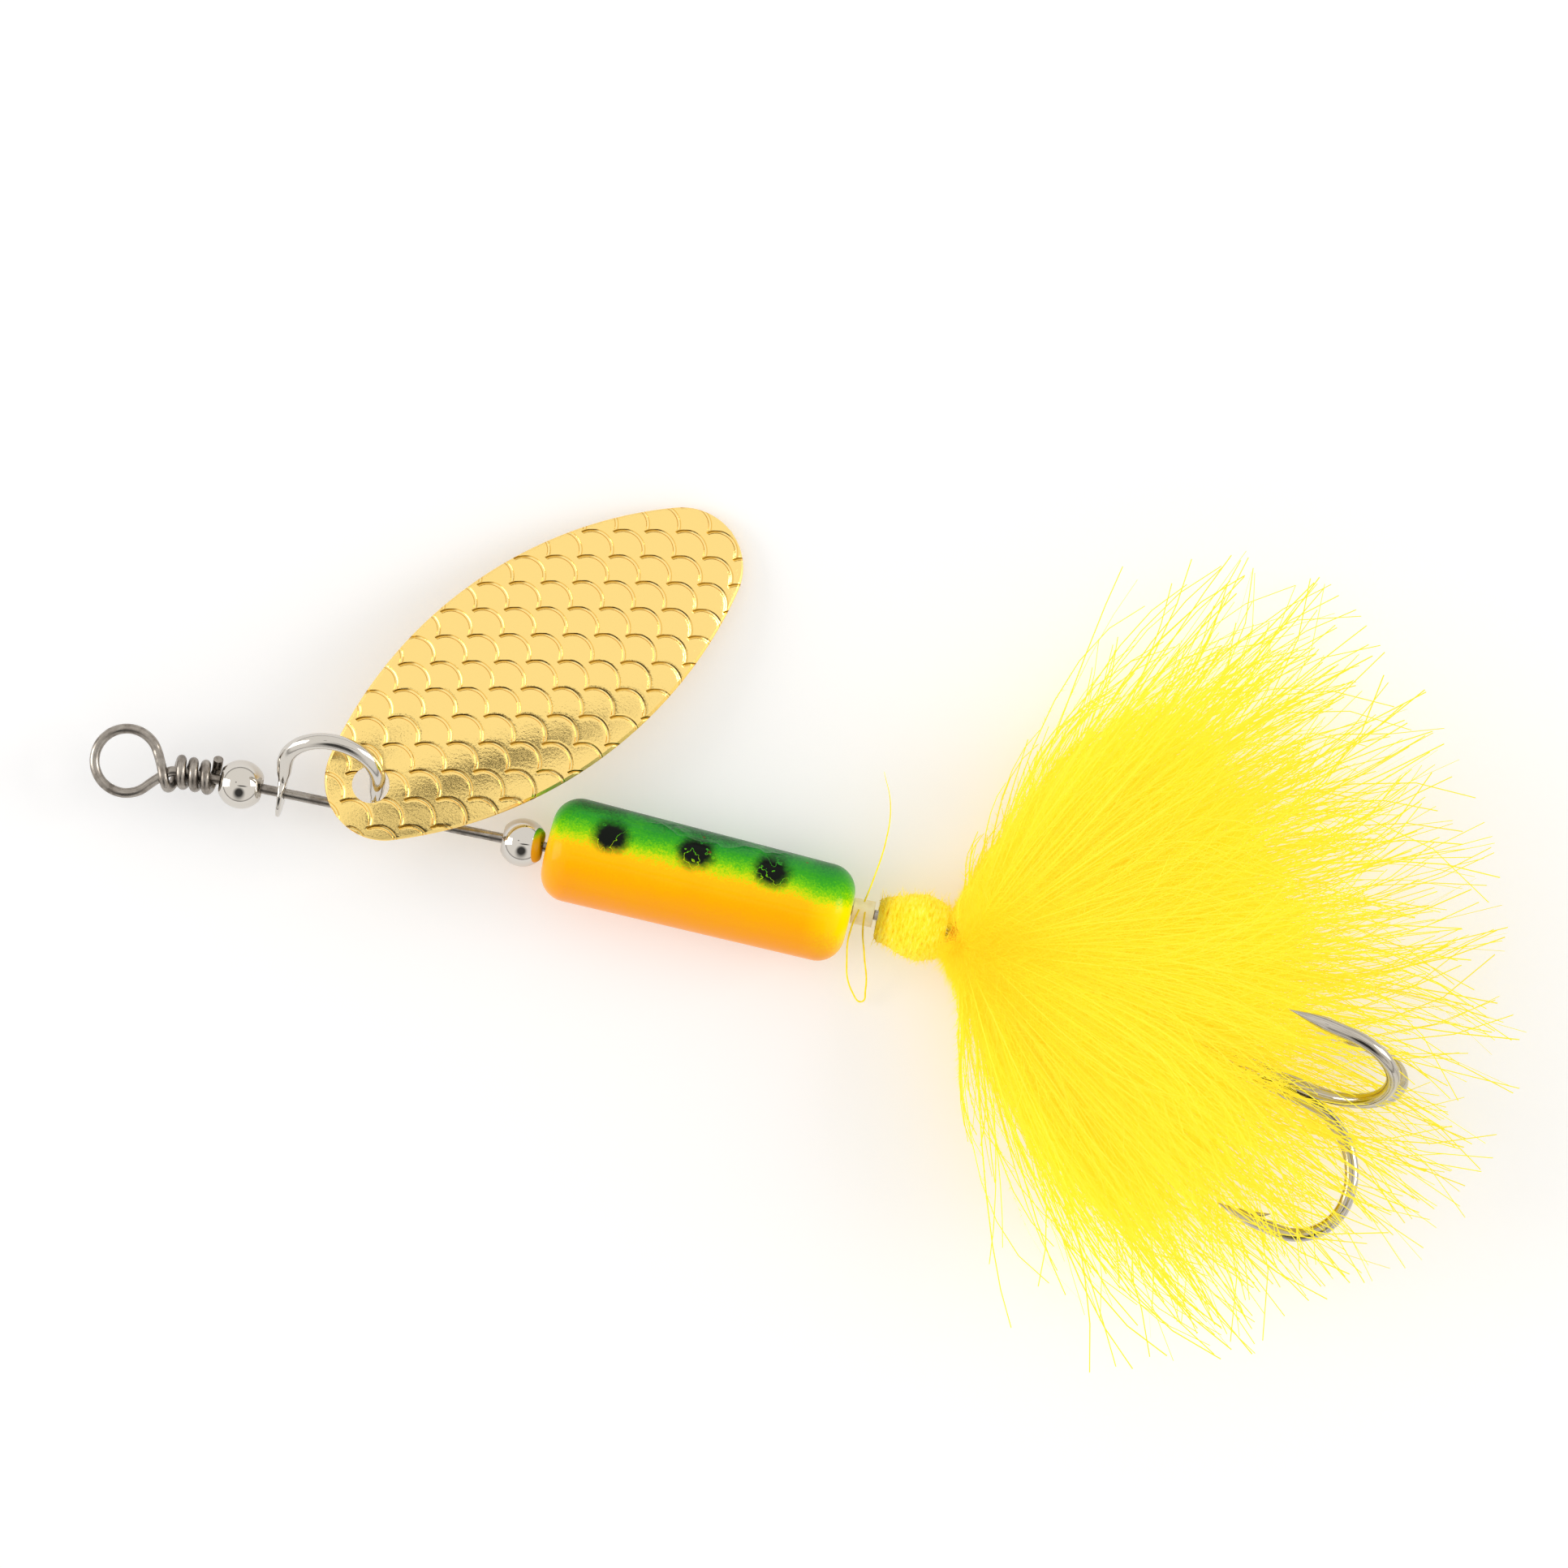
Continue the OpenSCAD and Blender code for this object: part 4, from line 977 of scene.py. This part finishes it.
def marabou(name, heading, upper, seed, barbs):
    """One marabou tip: barbs in wisps that run out along heading, with barbules along each."""
    dice = np.random.default_rng(seed)
    wisps, spread = 16, 15
    wisp_heading = heading + spread * (np.linspace(-1, 1, wisps) + dice.normal(0, 0.07, wisps))
    wisp_rank = dice.uniform(0.25, 1.0, wisps)
    wisp_z = dice.uniform(0, 1, wisps)
    wisp_bow = dice.normal(0, 1.0, wisps)
    wisp_tone = dice.uniform(0, 1, wisps)
    which = dice.integers(0, wisps, barbs)
    share = dice.uniform(0, 1, barbs)
    far = share > 0.86
    share = np.where(far, 0.86 + 0.14 * wisp_rank[which] * dice.uniform(0, 1, barbs) ** 0.5, share)
    head = wisp_heading[which] + dice.normal(0, 1.0, barbs) * np.where(far, 1.3, 7.0)
    # a few barbs run on alone, far past the rest
    lone = dice.uniform(0, 1, barbs) < 0.022
    share = np.where(lone, dice.uniform(0.95, 1.0, barbs), share)
    head = np.where(lone, heading + spread * dice.uniform(-1.1, 1.1, barbs), head)
    far = far | lone
    length = tail_length(head, share)
    rad = np.radians(head)
    lift = np.clip(0.65 * wisp_z[which] + 0.35 * dice.uniform(0, 1, barbs), 0, 1)
    if upper:
        z_end = 1.6 + (0.11 + 0.17 * lift) * length
        z_end = np.where(z_end > 9, 9 + 0.25 * (z_end - 9), z_end)
        # over the shank of the hook the barbs lie on top of the wire
        z_end += 2.4 * np.exp(-(((head + 20) / 12) ** 2)) * np.clip(length / 20, 0, 1)
    else:
        z_end = -4.0 + 3.9 * lift
    z_end = z_end + dice.normal(0, 0.3, barbs)
    end = np.stack([fan_origin[0] + length * np.cos(rad), fan_origin[1] + length * np.sin(rad), z_end], 1)
    around = dice.uniform(0, math.pi, barbs) * (1 if upper else -1)
    ring = dice.uniform(0.75, 1.5, barbs)
    root = np.array([on_treble(3.9, r * math.cos(b), r * math.sin(b)) for r, b in zip(ring, around)])
    gap = np.linalg.norm(end - root, axis=1, keepdims=True)
    flat = np.zeros(barbs)
    ahead = np.stack([np.cos(rad), np.sin(rad), flat], 1)
    sideways = np.stack([-np.sin(rad), np.cos(rad), flat], 1)
    upward = np.array([0, 0, 1.0])
    # each barb leaves the tie along the shank, then bows out to its tip
    out1 = root + (0.55 * shank_dir + 0.45 * ahead) * np.minimum(gap * 0.3, 3.2)
    out1 = out1 + upward * (z_end * 0.25)[:, None] * np.clip(gap / 12, 0, 1)
    bow = wisp_bow[which] * 0.11 + dice.normal(0, 1, barbs) * np.where(far, 0.08, 0.05)
    out2 = root * 0.30 + end * 0.70 + bow[:, None] * gap * sideways
    out2 = out2 + 0.5 * upward * dice.normal(0, 1, barbs)[:, None]
    parts = 10
    t = np.linspace(0, 1, parts + 1)[None, :, None]
    line = (1 - t) ** 3 * root[:, None] + 3 * (1 - t) ** 2 * t * out1[:, None]
    line = line + 3 * (1 - t) * t**2 * out2[:, None] + t**3 * end[:, None]
    wave = dice.normal(0, 0.22, (barbs, 1, 3))
    phase = t * dice.uniform(4, 9, (barbs, 1, 1)) + dice.uniform(0, 6, (barbs, 1, 1))
    line = line + wave * np.sin(phase) * t
    line[:, :, 2] = np.maximum(line[:, :, 2], table_mm + 0.12 + 0.25 * dice.uniform(0, 1, (barbs, 1)))
    tangent = unit(np.gradient(line, axis=1))
    face_way = 0.6 * dice.normal(0, 1, (barbs, 1, 3)) + np.array([0, 0, 1.2])
    across = unit(np.cross(tangent, face_way))
    width = dice.uniform(0.07, 0.11, barbs) + 0.045 * far + 0.03 * lone
    ribbon_points, quads = ribbons(line, across, width[:, None, None] * (1 - 0.45 * t))
    tris_a = np.concatenate([quads[:, [0, 1, 2]], quads[:, [0, 2, 3]]])
    # barbules: single slivers along the inner part of every barb, the tip is bare
    fringe = 130
    bare = np.where(far, 0.78, 0.92)[:, None]
    at = dice.uniform(0.02, 1.0, (barbs, fringe)) * bare
    index = np.minimum((at * parts).astype(int), parts - 1)
    part = (at * parts - index)[..., None]
    rows = np.arange(barbs)[:, None]
    foot = line[rows, index] * (1 - part) + line[rows, index + 1] * part
    run = tangent[rows, index]
    away = unit(np.cross(run, dice.normal(0, 1, foot.shape)))
    slant = np.radians(dice.uniform(18, 58, at.shape))[..., None]
    long = (dice.uniform(0.8, 2.8, at.shape) * (1.15 - at / bare))[..., None]
    tip = foot + (run * np.cos(slant) + away * np.sin(slant)) * long
    tip[:, :, 2] = np.maximum(tip[:, :, 2], table_mm + 0.08)
    thick = run * dice.uniform(0.014, 0.030, at.shape)[..., None]
    slivers = np.stack([foot - thick, foot + thick, tip], 2).reshape(-1, 3)
    tris_b = len(ribbon_points) + np.arange(len(slivers)).reshape(-1, 3)
    points = np.concatenate([ribbon_points, slivers])
    tris = np.concatenate([tris_a, tris_b])
    tone = 0.65 * wisp_tone[which] + 0.35 * dice.uniform(0, 1, barbs) - 0.2
    from_tie = np.linalg.norm(points[:, :2] - fan_origin, axis=1) / 42
    shade = np.concatenate([np.repeat(tone, 2 * (parts + 1)), np.repeat(np.repeat(tone, fringe), 3)])
    piece = face_mesh(name, points, tris)
    for layer, values in (("from_tie", from_tie), ("barb_shade", shade)):
        made = piece.data.attributes.new(layer, "FLOAT", "POINT")
        made.data.foreach_set("value", values.astype(np.float32))
    return piece


# dyed marabou: light passes through the thin barbs, and a faint painted glow in the dye's own yellow
# brightens them, golden near the tie and lemon towards the tips
down, tree = blank_material("dyed_marabou")
along = add_node(tree, "Attribute", {"attribute_name": "from_tie"})
tone = add_node(tree, "Attribute", {"attribute_name": "barb_shade"})
mixed = add_node(tree, "Math", {"operation": "MULTIPLY_ADD", 0: tone.outputs["Fac"], 1: 0.55})
set_node(mixed, {2: along.outputs["Fac"]})
dye = [(0.08, "#FFEC3C"), (0.26, "#FFF544"), (0.60, "#FFF84E"), (1.0, "#FFF044")]
dyed = add_node(tree, "ValToRGB", {"stops": dye, 0: mixed})
finish_and_painted_glow = {"Roughness": 0.7, "Specular IOR Level": 0.1, "Emission Strength": 0.18}
shader = add_node(tree, "BsdfPrincipled", {**finish_and_painted_glow, "Base Color": dyed, "Emission Color": dyed})
through = add_node(tree, "BsdfTranslucent", {"Color": dyed})
soft = add_node(tree, "MixShader", {0: 0.30, 1: shader, 2: through})
rays = add_node(tree, "LightPath")
shadow, diffuse = rays.outputs["Is Shadow Ray"], rays.outputs["Is Diffuse Ray"]
scattered = add_node(tree, "Math", {"operation": "MAXIMUM", 0: shadow, 1: diffuse})
scattered = add_node(tree, "Math", {"operation": "MULTIPLY", 0: scattered, 1: 0.5})
glow = add_node(tree, "BsdfTransparent", {"Color": hex_colour("#FFF070")})
fluff = add_node(tree, "MixShader", {0: scattered, 1: soft, 2: glow})
add_node(tree, "OutputMaterial", {"Surface": fluff})
barbs = 760
for k, heading in enumerate(lower_heading + upper_heading):
    plume = marabou(f"marabou_{k + 1}", heading, k >= 6, 100 + k, barbs)
    plume.data.materials.append(down)
    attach(plume, "hook")
    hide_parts(f"feather_{k + 1}")

# Stray threads
# A cut end and a small loop of fine yellow floss, caught on the wire between the painted
# body and the collar.
floss_r = 0.075
path = [(60.7, 0.9, 0.7), (61.0, 2.6, 1.2), (61.4, 6.0, 1.0), (61.2, 9.0, -0.6), (60.2, 11.5, -2.4)]
stray_end = bent_wire("stray_floss_end", path, floss_r, [1, 0.9, 0.8, 0.6, 0.3], sides=2)
path = [(60.4, 0.2, 1.05), (60.1, -1.2, 0.9), (60.2, -3.6, -1.2), (61.3, -6.6, -3.3), (62.2, -7.2, -3.6)]
path += [(62.3, -6.2, -3.4), (61.6, -3.4, -1.4), (61.0, -1.2, 0.7), (60.9, 0.1, 1.05)]
stray_loop = bent_wire("stray_floss_loop", path, floss_r, sides=2)
for piece in (stray_end, stray_loop):
    piece.data.materials.append(floss)
    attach(piece, "shaft")

low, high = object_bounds()
